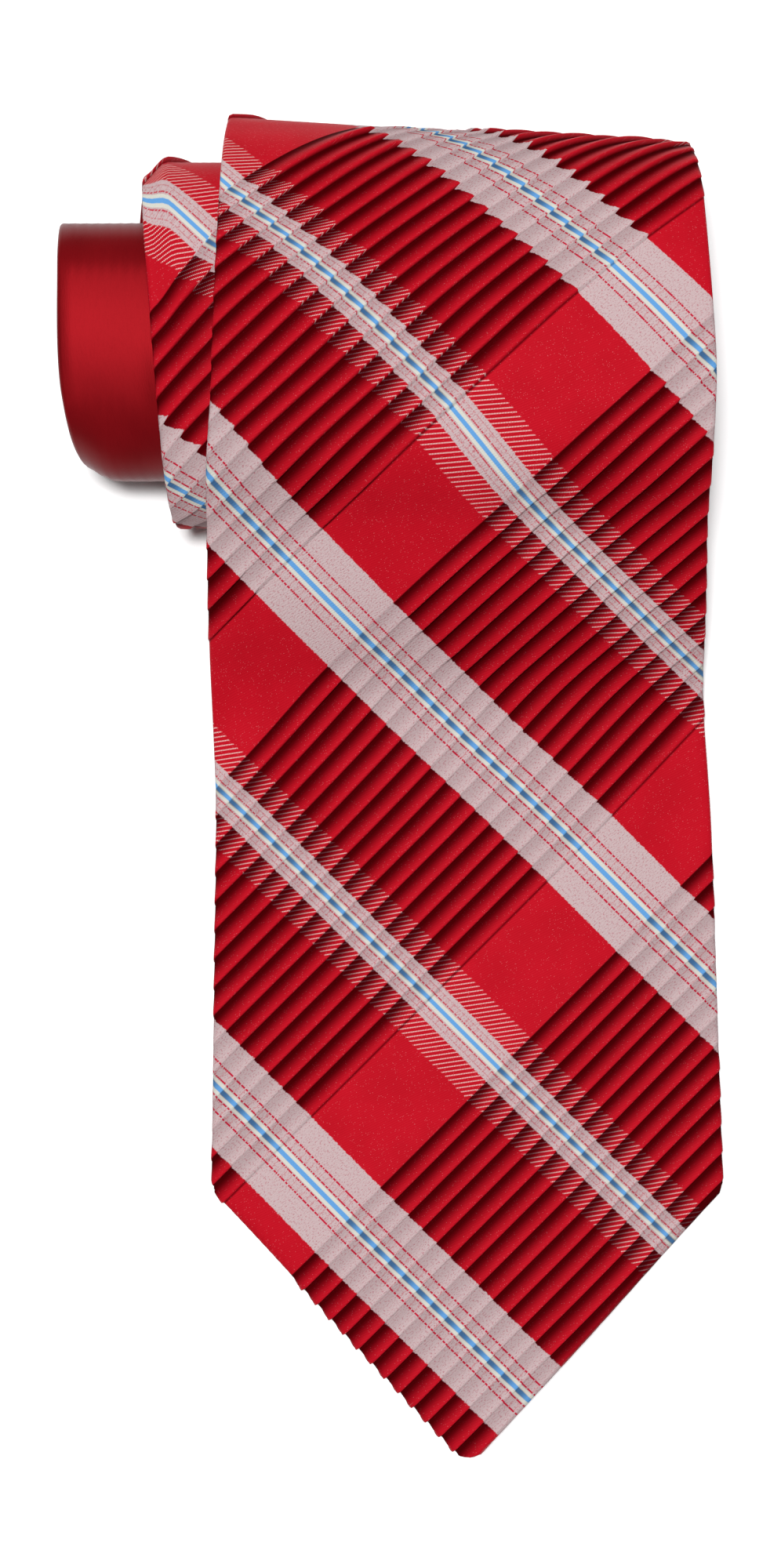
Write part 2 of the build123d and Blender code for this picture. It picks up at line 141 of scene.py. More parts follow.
def rise_legs(offset, flat_z):
    """Flat start y and the legs from the table to the top of the roll for a strand at an offset."""
    y, z, radius = bend_list()[1]
    radius += PITCH + offset
    crossing = y + ((flat_z - z) * math.cos(RISE) - radius) / math.sin(RISE)
    start_y = crossing - FOOT_RADIUS * math.tan(RISE / 2)
    foot_end = (start_y + FOOT_RADIUS * math.sin(RISE), flat_z + FOOT_RADIUS * (1 - math.cos(RISE)))
    shoulder = (y - radius * math.sin(RISE), z + radius * math.cos(RISE))
    return start_y, [
        (FOOT_RADIUS * RISE, 1 / FOOT_RADIUS),
        (math.dist(foot_end, shoulder), 0.0),
        (radius * RISE, -1 / radius),
    ]


def half_legs(offset, flat_z, start_y):
    """Legs of one strand from its pointed end to the neck fold, as (length, curvature)."""
    foot_y, legs = rise_legs(offset, flat_z)
    legs = [(foot_y - start_y, 0.0)] + legs
    bends = bend_list()
    y = bends[1][0]
    for bend_y, _, radius in bends:
        legs.append((abs(bend_y - y), 0.0))
        legs.append((math.pi * (radius + offset), -1 / (radius + offset)))
        y = bend_y
    legs.append((y - CORE_END_Y, 0.0))
    return legs


class Path:
    """Sampled centre line of the whole tie: distance, place, heading, curvature and station."""

    def __init__(self, step=0.25):
        blade_flat = FLAT_BACK_Z + BLADE_THICK / 2
        spiral = half_legs(0.0, blade_flat, TIP_Y)
        blade = half_legs(BLADE_OFFSET, blade_flat, TIP_Y)
        tail = half_legs(TAIL_OFFSET, TAIL_THICK / 2, TIP_Y + TAIL_SHORT)
        stations = np.cumsum([0.0] + [length for length, _ in spiral])
        turn_radius = (BLADE_OFFSET - TAIL_OFFSET) / 2
        legs = [(l, k, stations[i], stations[i + 1]) for i, (l, k) in enumerate(blade)]
        fold = stations[-1]
        legs.append((math.pi * turn_radius, -1 / turn_radius, fold, fold))
        tail_start = stations[1] - tail[0][0]
        for i in reversed(range(len(tail))):
            low = tail_start if i == 0 else stations[i]
            legs.append((tail[i][0], -tail[i][1], stations[i + 1], low))
        self.half = sum(l for l, _ in blade) + math.pi * turn_radius / 2
        point, heading, distance = np.array([TIP_Y, blade_flat]), 0.0, 0.0
        rows = []
        for length, curve, low, high in legs:
            count = max(int(math.ceil(length / step)), 2)
            for share in np.arange(count) / count:
                along = share * length
                rows.append((distance + along, *arc_step(point, heading, curve, along), curve,
                             low + (high - low) * share))
            point = np.array(arc_step(point, heading, curve, length)[:2])
            heading += curve * length
            distance += length
        rows.append((distance, *point, heading, 0.0, legs[-1][3]))
        self.distance, self.y, self.z, self.heading, self.curve, self.station = np.array(rows).T
        self.total = distance
        thick = self.thickness(self.distance)
        factor = 1 - self.curve * thick / 2
        steps = np.diff(self.distance) * (factor[1:] + factor[:-1]) / 2
        self.front = np.concatenate([[0.0], np.cumsum(steps)])

    def thickness(self, distance):
        return np.where(distance < self.half, BLADE_THICK, TAIL_THICK)

    def at(self, front):
        """Values of the path at distances measured on the front of the cloth."""
        d = np.interp(front, self.front, self.distance)
        columns = (self.y, self.z, self.heading, self.station)
        return (d, *(np.interp(d, self.distance, column) for column in columns))


def arc_step(point, heading, curve, along):
    """Place and heading after a distance along a leg."""
    if abs(curve) < 1e-9:
        return (point[0] + along * math.cos(heading), point[1] + along * math.sin(heading), heading)
    turned = heading + curve * along
    return (
        point[0] + (math.sin(turned) - math.sin(heading)) / curve,
        point[1] - (math.cos(turned) - math.cos(heading)) / curve,
        turned,
    )


path = Path()
LAST = float(path.front[-1])
FOLD_FRONT = float(np.interp(path.half, path.distance, path.front))
to_fold = slice(0, len(path.station) // 2)
seam_front = float(np.interp(SEAM_STATION, path.station[to_fold], path.front[to_fold]))
tail_seam_front = float(path.front[-1] - (seam_front - TAIL_SHORT))

# The two pointed ends: where each starts on the strand, which way its cloth runs, where its back's V ends
End = namedtuple("End", "corner thick tip_y first_front direction v_end body")
BLADE = End(CORNER, BLADE_THICK, TIP_Y, 0.0, 1, 100.0, "blade")
TAIL = End(TAIL_CORNER, TAIL_THICK, TIP_Y + TAIL_SHORT, LAST, -1, 60.0, "roll")


def width_at(d, station):
    """Width of the folded tie."""
    return np.where(
        d < path.half,
        np.interp(station, *zip(*BLADE_WIDTHS)),
        np.interp(station, *zip(*TAIL_WIDTHS)),
    )


def end_slope(end, tip_station=0.0):
    """How fast a pointed end's edges spread: half its width at the corners over its length."""
    tip_d = 0.0 if end is BLADE else path.total
    return float(width_at(np.array(tip_d), tip_station + end.corner)) / 2 / end.corner


def smooth(low, high, value):
    """0 before low, 1 past high, smooth between; high may be the smaller one."""
    t = np.clip((value - low) / (high - low), 0, 1)
    return t * t * (3 - 2 * t)


def within(stretch, station):
    """1 in the full part of a stretch, 0 outside it, smooth between."""
    begun = smooth(stretch.begins, stretch.full, station)
    return begun * (1 - smooth(stretch.fades, stretch.over, station))


def centre_at(station):
    """Centre line of the strand; the soft cloth wanders a little from the ruled line."""
    ruled = np.interp(station, *zip(*CENTRE_LINE))
    return ruled - NECK_SHIFT * within(NECK_WANDER, station) - RISE_SHIFT * within(RISE_WANDER, station)


def pattern_centre(station):
    """Centre line that the pattern is laid out on."""
    return np.interp(np.minimum(station, CENTRE_LINE[2][0]), *zip(*CENTRE_LINE))


# ---- The plaid and its pleats ----
PLEAT_TOP = 0.94
PLEAT_LEAN = 1.15
PLEAT_ROWS = [0.0, 0.06, 0.16, 0.3, 0.45, 0.6, 0.74, 0.86, PLEAT_TOP]
BAND_ROWS = 16
BAND_EDGE = (0.05, 0.45)
ROUNDING = 1e-6


def pleat_phase(u):
    """Phase within a pleat from 0 to 1, whether u is inside a pleated group, and its place in the period."""
    local = np.mod(u - PLEAT_GROUP_START, PLEAT_GROUP_PERIOD)
    inside = local < PLEAT_GROUP_LENGTH
    phase = np.mod(local / PLEAT_PITCH + ROUNDING, 1.0)
    return phase, inside, local


def stripe_distance(v, stripe):
    """Distance of v from the nearest such stripe's middle."""
    return np.abs(np.mod(v - stripe.middle + STRIPE_PERIOD / 2, STRIPE_PERIOD) - STRIPE_PERIOD / 2)


def pleat_strength(v):
    """Pleats are deep in the red ground and shallow where the stripes' floats stiffen the cloth."""
    strength = 1.0
    for stripe in STRIPES:
        least, low, high = stripe.stiff
        strength = strength * (least + (1 - least) * smooth(low, high, stripe_distance(v, stripe)))
    return strength


def pleat_profile(phase):
    """Height of a knife pleat: a low hollow, a rise to a round ridge, then a sharp drop."""
    rise = np.clip(phase / PLEAT_TOP, 0, 1)
    drop = np.clip((1 - phase) / (1 - PLEAT_TOP), 0, 1)
    return (0.5 - 0.5 * np.cos(math.pi * rise**PLEAT_LEAN)) * drop


def pleat_row_positions(u_low, u_high):
    """u of the grid rows between two limits: several per pleat, fewer on the smooth bands."""
    band = PLEAT_GROUP_PERIOD - PLEAT_GROUP_LENGTH
    group = math.floor((u_low - PLEAT_GROUP_START) / PLEAT_GROUP_PERIOD)
    rows = []
    while PLEAT_GROUP_START + group * PLEAT_GROUP_PERIOD < u_high:
        start = PLEAT_GROUP_START + group * PLEAT_GROUP_PERIOD
        foot = start + PLEAT_GROUP_LENGTH
        for pleat in range(PLEATS_PER_GROUP):
            rows += [start + (pleat + share) * PLEAT_PITCH for share in PLEAT_ROWS]
        rows += [foot + edge for edge in BAND_EDGE]
        rows += [foot + band * i / BAND_ROWS for i in range(1, BAND_ROWS)]
        rows.append(start + PLEAT_GROUP_PERIOD - BAND_EDGE[0])
        group += 1
    return [u for u in rows if u_low < u < u_high]


# ---- Cloth grids on the strand ----
FEATURE_ARC = 0.25
SEAM_GAP = 0.3


def feature_columns(front_count, arc_count, back_count):
    """Columns across the unfolded cloth: the front from -1 to 1, each folded edge, each back flap to 2."""
    front = np.linspace(-1, 1, front_count)
    arc = 1 + FEATURE_ARC * np.arange(1, arc_count + 1) / arc_count
    back = 1 + FEATURE_ARC + (1 - FEATURE_ARC) * np.arange(1, back_count + 1) / back_count
    side = np.concatenate([arc, back])
    return np.concatenate([-side[::-1], front, side])


def unfolded_x(feature, width, thick):
    """Distance across the unfolded cloth for a feature column."""
    half, arc = (width - thick) / 2, math.pi * thick / 2
    size = np.abs(feature)
    on_arc = np.clip((size - 1) / FEATURE_ARC, 0, 1) * arc
    on_back = np.clip((size - 1 - FEATURE_ARC) / (1 - FEATURE_ARC), 0, 1) * (half - SEAM_GAP)
    return np.sign(feature) * (np.minimum(size, 1) * half + on_arc + on_back)


def folded_section(x, width, thick):
    """Across and height of a fabric point in the folded section, with its outward direction."""
    half, arc = (width - thick) / 2, math.pi * thick / 2
    size, side = np.abs(x), np.sign(x)
    turn = np.clip((size - half) / (thick / 2), 0, math.pi)
    back = np.maximum(size - half - arc, 0)
    across = side * (np.minimum(size, half) + thick / 2 * np.sin(turn) - back)
    return across, thick / 2 * np.cos(turn), side * np.sin(turn), np.cos(turn), turn


# ---- How the soft cloth settles from the ruled strand ----
SINK = 1.85
SINK_ACROSS = (19.0, 42.0)
SINK_Y = (-5.0, 32.0)
FAR_BEND_SKEW = 0.062
SECOND_TURN_OUT = 2.2
SECOND_CORNER_IN = 3.2
SECOND_CORNER_ACROSS = (-29.0, -33.5)
NECK_CORNER_IN = 4.0
NECK_CORNER_X = (-50.5, -60.0)
NECK_CORNER_Y = (58.0, 76.0)
NECK_CORNER_STATION = (455.0, 470.0)
ROLL_MIDDLE_Y = 83.0
ROLL_HALF = 25.0
ROLL_FOOT_Y = (20.0, 50.0)
FAR_SPREAD = 0.2
FAR_SPREAD_Y = (98.0, 119.0)
DOME = 0.10
DOME_REACH_FAR = 1.5
DOME_REACH_NEAR = 1.3
CORE_X = (-38.0, -46.0)
CORE_SHIFT = 6.0
CORE_FALL = 0.40
FACE_DOWN = (0.1, 0.9)
PRESSED_Z = (3.0, 6.0)


def droop(across, y, d):
    """The flat blade lies on the narrow end and sinks to the table at its sides."""
    on_blade = (d < path.half) * (1 - smooth(*SINK_Y, y))
    return -SINK * smooth(*SINK_ACROSS, np.abs(across)) * on_blade


def skew(station, across, d):
    """The outer turn's far bend lies further out on its left side, the second turn's near bend bulges out."""
    outer = within(OUTER_FAR_BEND, station) * (d < path.half)
    corner = smooth(*SECOND_CORNER_ACROSS, across) * (d < path.half)
    bulge = (SECOND_TURN_OUT - SECOND_CORNER_IN * corner) * within(SECOND_NEAR_BEND, station)
    return -FAR_BEND_SKEW * across * outer + bulge


def rounded_corner(place_x, y, station):
    """How far the neckband's left corner is pulled in at its near bends."""
    pulled = smooth(*NECK_CORNER_X, place_x) * (1 - smooth(*NECK_CORNER_Y, y))
    return NECK_CORNER_IN * pulled * smooth(*NECK_CORNER_STATION, station)


def settled(place_x, y, z):
    """Height once the soft roll has settled: its top is slightly domed, lower towards both bends."""
    core = smooth(*CORE_X, place_x)
    middle = ROLL_MIDDLE_Y + CORE_SHIFT * core
    far = np.minimum(np.maximum(y - middle, 0) / ROLL_HALF, DOME_REACH_FAR)
    near = np.minimum(np.maximum(middle - y, 0) / ROLL_HALF, DOME_REACH_NEAR) * smooth(*ROLL_FOOT_Y, y)
    return z * (1 - DOME * (far**2 + (1 + CORE_FALL * core) * near**2))


def strand_point(front, across, height):
    """3-D point, in metres, at a distance across the strand and a height over its middle layer."""
    d, y, z, heading, station = path.at(front)
    y_moved = y - np.sin(heading) * height + skew(station, across, d)
    y_moved = y_moved + FAR_SPREAD * smooth(*FAR_SPREAD_Y, y_moved)
    place_x = centre_at(station) + across
    y_moved = y_moved + rounded_corner(place_x, y_moved, station)
    z_moved = settled(place_x, y_moved, z + np.cos(heading) * height) + droop(across, y, d)
    return np.stack([place_x, y_moved, z_moved], axis=-1) * MM


def folded_point(front, x, relief):
    """3-D point of an unfolded fabric point; relief moves it out of the folded section."""
    d, _, _, _, station = path.at(front)
    across, height, out_x, out_n, _ = folded_section(x, width_at(d, station), path.thickness(d))
    return strand_point(front, across + out_x * relief, height + out_n * relief)


def pressed(front):
    """1 where the cloth's front faces down onto the table, 0 elsewhere."""
    _, _, z, heading, _ = path.at(front)
    return smooth(*FACE_DOWN, -np.cos(heading)) * (1 - smooth(*PRESSED_Z, z))


# ---- Pieces and cloth sheets ----
WELD_DISTANCE = 1e-6
NO_LENGTH = 1e-7
STRIP_MARGIN = 3.0


def grid_faces(rows, columns):
    """Quads of a grid of points."""
    index = np.arange(rows * columns).reshape(rows, columns)
    corners = (index[:-1, :-1], index[:-1, 1:], index[1:, 1:], index[1:, :-1])
    return np.stack([corner.ravel() for corner in corners], axis=-1)


def add_piece(name, points, faces, material, slot, layers, body="roll", bends=False):
    """Mesh object from points and faces, with point attributes; merged where a grid closes up."""
    mesh = bpy.data.meshes.new(name)
    mesh.from_pydata(points.reshape(-1, 3).tolist(), [], faces.tolist())
    for label, values in layers.items():
        attribute = mesh.attributes.new(label, "FLOAT_VECTOR", "POINT")
        attribute.data.foreach_set("vector", values.reshape(-1, 3).astype(np.float32).ravel())
    work = bmesh.new()
    work.from_mesh(mesh)
    bmesh.ops.remove_doubles(work, verts=work.verts, dist=WELD_DISTANCE)
    bmesh.ops.dissolve_degenerate(work, dist=NO_LENGTH, edges=work.edges)
    work.to_mesh(mesh)
    work.free()
    mesh.polygons.foreach_set("use_smooth", [True] * len(mesh.polygons))
    mesh.materials.append(material)
    mesh.update()
    piece = bpy.data.objects.new(name, mesh)
    bpy.context.scene.collection.objects.link(piece)
    if bends:
        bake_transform(piece)
    else:
        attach(piece, body)
    return piece


def flat_coordinates(piece):
    """The unfolded coordinates (mm) of a piece's points."""
    flat = np.zeros(len(piece.data.vertices) * 3)
    piece.data.attributes["unfolded"].data.foreach_get("vector", flat)
    return flat.reshape(-1, 3)


def declare_cloth(piece, faces=1):
    """Measure a sheet of cloth's flat area on its own unfolded coordinates; nothing is done with the result.
    """
    flat = flat_coordinates(piece)[:, :2] * MM
    piece.data.calc_loop_triangles()
    corners = np.array([t.vertices[:] for t in piece.data.loop_triangles])
    a, b, c = flat[corners[:, 0]], flat[corners[:, 1]], flat[corners[:, 2]]
    area = np.abs((b[:, 0] - a[:, 0]) * (c[:, 1] - a[:, 1]) - (b[:, 1] - a[:, 1]) * (c[:, 0] - a[:, 0])).sum()
    size = flat.max(0) - flat.min(0)
    area = min(area / 2 / faces, size[0] * size[1])


def lay_out(piece, width, strips):
    """A neat layout of the unfolded cloth for its texture: sheared rows, in side-by-side strips."""
    mesh = piece.data
    flat = flat_coordinates(piece)
    across, row = flat[:, 0], flat[:, 1] - flat[:, 0]
    corners = np.zeros(len(mesh.loops), int)
    mesh.loops.foreach_get("vertex_index", corners)
    starts = np.zeros(len(mesh.polygons), int)
    mesh.polygons.foreach_get("loop_start", starts)
    counts = np.diff(np.append(starts, len(corners)))
    middle = np.repeat(np.add.reduceat(row[corners], starts) / counts, counts)
    low, length = row.min(), (row.max() - row.min()) / strips
    strip = np.clip((middle - low) // length, 0, strips - 1)
    size = max(strips * (width + STRIP_MARGIN), length + 2 * STRIP_MARGIN)
    u = (across[corners] + width / 2 + STRIP_MARGIN / 2 + strip * (width + STRIP_MARGIN)) / size
    v = (row[corners] - low - strip * length + STRIP_MARGIN) / size
    layer = mesh.uv_layers.new(name="OFBake")
    layer.data.foreach_set("uv", np.stack([u, v], axis=-1).astype(np.float32).ravel())


# ---- Materials ----
class Shader:
    """A node material with short calls for its sums."""

    def __init__(self, name, roughness, specular=0.4, sheen=0.0, tint=(1, 1, 1)):
        self.material = bpy.data.materials.new(name)
        self.material.use_nodes = True
        self.tree = self.material.node_tree
        self.surface = self.tree.nodes["Principled BSDF"]
        self.surface.inputs["Roughness"].default_value = roughness
        self.surface.inputs["Specular IOR Level"].default_value = specular
        self.surface.inputs["Sheen Weight"].default_value = sheen
        self.surface.inputs["Sheen Roughness"].default_value = 0.4
        self.surface.inputs["Specular Tint"].default_value = (*tint, 1)

    def put(self, socket, value):
        if isinstance(value, bpy.types.NodeSocket):
            self.tree.links.new(value, socket)
        elif value is not None:
            socket.default_value = value

    def math(self, operation, *values):
        node = self.tree.nodes.new("ShaderNodeMath")
        node.operation = operation
        for socket, value in zip(node.inputs, values):
            self.put(socket, value)
        return node.outputs[0]

    def times(self, first, second):
        return self.math("MULTIPLY", first, second)

    def wave(self, value, pitch):
        return self.math("SINE", self.times(value, 2 * math.pi / pitch))

    def mix(self, factor, first, second, blend="MIX"):
        node = self.tree.nodes.new("ShaderNodeMix")
        node.data_type = "RGBA"
        node.blend_type = blend
        self.put(node.inputs["Factor"], factor)
        for socket, value in zip((node.inputs[6], node.inputs[7]), (first, second)):
            self.put(socket, (*value, 1) if isinstance(value, tuple) and len(value) == 3 else value)
        return node.outputs[2]

    def ramp(self, value, low, high, to_low=0.0, to_high=1.0):
        node = self.tree.nodes.new("ShaderNodeMapRange")
        node.interpolation_type = "SMOOTHSTEP"
        for socket, item in zip(node.inputs, (value, low, high, to_low, to_high)):
            self.put(socket, item)
        return node.outputs[0]

    def below(self, value, limit, soft=0.07):
        return self.ramp(value, limit - soft, limit + soft, 1.0, 0.0)

    def near(self, value, target, half, soft=0.05):
        return self.below(self.math("ABSOLUTE", self.math("SUBTRACT", value, target)), half, soft)

    def attribute(self, name):
        node = self.tree.nodes.new("ShaderNodeAttribute")
        node.attribute_name = name
        split = self.tree.nodes.new("ShaderNodeSeparateXYZ")
        self.tree.links.new(node.outputs["Vector"], split.inputs[0])
        return split.outputs

    def vector(self, x, y, z=0.0):
        node = self.tree.nodes.new("ShaderNodeCombineXYZ")
        for socket, value in zip(node.inputs, (x, y, z)):
            self.put(socket, value)
        return node.outputs[0]

    def noise(self, vector, scale, detail=2.0, roughness=0.5):
        node = self.tree.nodes.new("ShaderNodeTexNoise")
        self.put(node.inputs["Vector"], vector)
        node.inputs["Scale"].default_value = scale
        node.inputs["Detail"].default_value = detail
        node.inputs["Roughness"].default_value = roughness
        return node.outputs[0]

    def dots(self, vector, scale):
        node = self.tree.nodes.new("ShaderNodeTexVoronoi")
        self.put(node.inputs["Vector"], vector)
        node.inputs["Scale"].default_value = scale
        return node.outputs["Distance"], node.outputs["Color"]

    def bump(self, height, strength, distance):
        node = self.tree.nodes.new("ShaderNodeBump")
        node.inputs["Strength"].default_value = strength
        node.inputs["Distance"].default_value = distance
        self.put(node.inputs["Height"], height)
        self.tree.links.new(node.outputs[0], self.surface.inputs["Normal"])

    def colour(self, value):
        self.put(self.surface.inputs["Base Color"], value)


RED = (0.42, 0.0055, 0.0145)
RED_SHADED = (0.385, 0.0048, 0.0125)
RED_DEEP = (0.30, 0.003, 0.0075)
RED_TINT = (1.0, 0.12, 0.15)
PALE_POINT = (0.60, 0.15, 0.17)
GREY = (0.46, 0.35, 0.355)
GREY_PINK = (0.37, 0.16, 0.18)
GREY_RIB = (0.36, 0.26, 0.265)
CREAM = (0.52, 0.515, 0.46)
BLUE = (0.10, 0.28, 0.56)
THREAD_RED = (0.40, 0.008, 0.03)
PALE_THREAD = (0.66, 0.47, 0.45)
# Colour multiplied into the cloth where its pleats' hollows are painted in shade
PAINTED_HOLLOW_SHADE = (0.085, 0.035, 0.055)
SATIN = (0.135, 0.0032, 0.0050)
SATIN_SHADED = (0.115, 0.0026, 0.0042)
SATIN_DEEP = (0.095, 0.0020, 0.0035)
SATIN_TINT = (1.0, 0.03, 0.045)

TWILL_PITCH = 0.42
RIB_PITCH = 0.5
RUNG_PITCH = 0.62
HATCH_SLOPE = math.radians(8.5)
HATCH_U = math.cos(math.pi / 4 - HATCH_SLOPE)
HATCH_V = math.sin(math.pi / 4 - HATCH_SLOPE)
HATCH_REACH = 8.1
HATCH_PITCH = 0.82
HATCH_BEAD = 0.27
GREY_SOFTNESS = 0.05
BLUE_CORE = 0.55


def plaid_material():
    """Red satin ground with sparse pale binding points, and the two kinds of stripe."""
    s = Shader("plaid_silk", 0.5, tint=RED_TINT)
    u, v, shade = s.attribute("fabric")
    fine = s.vector(u, v)
    ragged = s.times(s.math("SUBTRACT", s.noise(fine, 2.2, 1.0), 0.5), 0.5)
    ragged_v = s.math("ADD", v, ragged)

    def distance(value, stripe):
        away = s.math("SUBTRACT", value, stripe.middle)
        return s.math("ABSOLUTE", s.math("WRAP", away, STRIPE_PERIOD / 2, -STRIPE_PERIOD / 2))

    ragged_edge = {stripe: distance(ragged_v, stripe) for stripe in STRIPES}
    clean_edge = {stripe: distance(v, stripe) for stripe in STRIPES}

    # Ground: a fine twill and scattered pale points
    twill = s.wave(s.math("ADD", u, s.times(v, 0.35)), TWILL_PITCH)
    ground = s.mix(s.ramp(s.noise(fine, 0.12, 3.0), 0.3, 0.7), RED_SHADED, RED)
    ground = s.mix(s.times(s.ramp(twill, -0.2, 1.0), 0.22), ground, RED_DEEP)
    reach, tone = s.dots(fine, 2.9)
    sparkle = s.times(s.below(reach, 0.17, 0.08), s.ramp(tone, 0.48, 0.58))
    colour = s.mix(s.times(sparkle, 0.55), ground, PALE_POINT)

    # The pale hatch of slanting dotted lines beside the narrow stripe
    slant = s.math("ADD", s.times(u, HATCH_U), s.times(v, HATCH_V))
    run = s.math("SUBTRACT", s.times(v, HATCH_U), s.times(u, HATCH_V))
    hatch_lines = s.below(s.math("PINGPONG", slant, HATCH_PITCH / 2), 0.10, 0.05)
    hatch = s.times(s.times(hatch_lines, s.ramp(s.wave(run, HATCH_BEAD), -0.9, -0.1)), 0.9)
    colour = s.mix(s.times(s.below(ragged_edge[NARROW], HATCH_REACH, 0.15), hatch), colour, PALE_THREAD)

    # Grey floats with fine cross ribs and stray red specks
    rib = s.wave(u, RIB_PITCH)
    grain = s.noise(s.vector(u, s.times(v, 0.45)), 5.0, 2.0)
    grey = s.mix(s.ramp(grain, 0.5, 0.72), GREY, GREY_PINK)
    grey = s.mix(s.times(s.ramp(rib, 0.2, 1.0), 0.18), grey, GREY_RIB)

    # Red binding threads on the grey: a ladder of rungs between dotted lines
    beads = s.ramp(s.noise(s.vector(u, 0.0), 2.6, 0.0), 0.36, 0.50)
    rungs = s.below(s.math("PINGPONG", s.math("ADD", u, s.times(ragged, 1.6)), RUNG_PITCH), 0.07, 0.06)
    for stripe in STRIPES:
        away = clean_edge[stripe]
        colour = s.mix(s.below(ragged_edge[stripe], stripe.grey, 0.1), colour, grey)
        inner, outer = stripe.ladder
        between = s.math("SUBTRACT", s.below(away, outer, 0.1), s.below(away, inner, 0.1))
        colour = s.mix(s.times(s.times(between, rungs), 0.4), colour, THREAD_RED)
        for line, half, strength in stripe.lines:
            dotted = s.times(s.times(s.near(away, line, half, 0.07), beads), strength)
            colour = s.mix(dotted, colour, THREAD_RED)
        colour = s.mix(s.below(away, stripe.cream, 0.08), colour, CREAM)
        colour = s.mix(s.below(away, stripe.blue, 0.1), colour, BLUE)

    # Painted shade: each pleat's hollow is darkened in the colour, most on the red ground, least on the grey
    # floats
    in_grey = [s.below(ragged_edge[stripe], stripe.grey - GREY_SOFTNESS, 0.1) for stripe in STRIPES]
    in_blue = [s.below(clean_edge[stripe], BLUE_CORE, 0.1) for stripe in STRIPES]
    on_stripe = s.math("MAXIMUM", *in_grey)
    depth = s.math("SUBTRACT", 0.97, s.times(on_stripe, 0.72))
    depth = s.math("ADD", depth, s.times(s.math("MAXIMUM", *in_blue), 0.42))
    dark = s.mix(1.0, colour, PAINTED_HOLLOW_SHADE, "MULTIPLY")
    s.colour(s.mix(s.times(shade, depth), colour, dark))

    s.put(s.surface.inputs["Roughness"], s.ramp(on_stripe, 0.0, 1.0, 0.46, 0.62))
    shine = s.ramp(on_stripe, 0.0, 1.0, 0.06, 0.04)
    s.put(s.surface.inputs["Specular IOR Level"], s.times(shine, s.ramp(shade, 0.0, 1.0, 1.0, 0.1)))
    weave = s.math("ADD", s.times(twill, 0.35), s.times(grain, 0.9))
    s.bump(s.math("ADD", weave, s.times(s.times(rib, on_stripe), 0.4)), 0.35, 0.00007)
    return s.material


def satin_material():
    """Plain red satin with a faint lengthwise grain."""
    s = Shader("satin_silk", 0.36, specular=0.31, tint=SATIN_TINT)
    x, along, _ = s.attribute("unfolded")
    grain = s.noise(s.vector(s.times(x, 6.0), s.times(along, 0.5)), 1.0, 2.0)
    cloud = s.noise(s.vector(x, along), 0.08, 2.0)
    colour = s.mix(s.ramp(cloud, 0.3, 0.7), SATIN_SHADED, SATIN)
    s.colour(s.mix(s.times(s.ramp(grain, 0.45, 0.7), 0.25), colour, SATIN_DEEP))
    s.bump(grain, 0.25, 0.00005)
    return s.material


def woven_material(name, colour, deep, yarn, roughness, specular=0.3, sheen=0.0):
    """Plain woven cloth from the object's own coordinates: crossed yarns (mm) and a little unevenness."""
    s = Shader(name, roughness, specular=specular, sheen=sheen)
    place = s.tree.nodes.new("ShaderNodeTexCoord").outputs["Object"]
    split = s.tree.nodes.new("ShaderNodeSeparateXYZ")
    s.tree.links.new(place, split.inputs[0])
    x, y, _ = split.outputs
    yarns = s.times(s.wave(x, yarn * MM), s.wave(y, yarn * MM))
    uneven = s.noise(place, 900.0, 2.0)
    tone = s.math("ADD", s.times(s.ramp(yarns, -1.0, 1.0), 0.5), s.times(uneven, 0.5))
    s.colour(s.mix(s.ramp(tone, 0.25, 0.75), deep, colour))
    s.bump(s.math("ADD", yarns, uneven), 0.4, 0.0001)
    return s.material


def thread_material(name, colour, deep):
    """Two-ply sewing thread: slanting ply lines along the twisted surface."""
    s = Shader(name, 0.55, specular=0.35)
    around, along, _ = s.attribute("ply")
    ply = s.math("SINE", s.math("ADD", s.times(around, 2.0), s.times(along, 9.0)))
    s.colour(s.mix(s.ramp(ply, -0.6, 0.8), deep, colour))
    s.bump(ply, 0.5, 0.00005)
    return s.material


WOOL = ((0.62, 0.58, 0.50), (0.48, 0.44, 0.37))
MATERIALS = {
    "plaid_silk": plaid_material(),
    "satin_silk": satin_material(),
    "wool": woven_material("wool", *WOOL, 0.9, 0.95, specular=0.1, sheen=0.3),
    "tipping_silk": woven_material("tipping_silk", (0.36, 0.008, 0.014), (0.26, 0.004, 0.008), 0.35, 0.5),
    "loop_silk": woven_material("loop_silk", (0.40, 0.009, 0.016), (0.28, 0.005, 0.009), 0.4, 0.5),
    "label_weave": woven_material("label_weave", (0.03, 0.03, 0.035), (0.015, 0.015, 0.018), 0.3, 0.6),
    "care_weave": woven_material("care_weave", (0.70, 0.69, 0.66), (0.58, 0.57, 0.54), 0.3, 0.7),
    "thread": thread_material("thread", (0.42, 0.010, 0.02), (0.22, 0.004, 0.01)),
    "label_thread": thread_material("label_thread", (0.55, 0.53, 0.48), (0.36, 0.34, 0.30)),
}


# ---- The silk panels ----
# The pattern runs ahead of the ruled strand in the hidden turns, and slides sideways there
WRAP_SLACK = 36.2
INNER_SLACK = 3.0
OUTER_SLACK_STATION = (255.0, 335.0)
INNER_SLACK_STATION = (335.0, 395.0)
RISE_STRETCH = 4.9
RISE_STRETCH_SKEW = 0.014
FIRST_DRIFT = 1.6
FIRST_DRIFT_STATION = (225.0, 262.0)
SECOND_DRIFT = 8.6
SECOND_DRIFT_STATION = (262.0, 335.0)

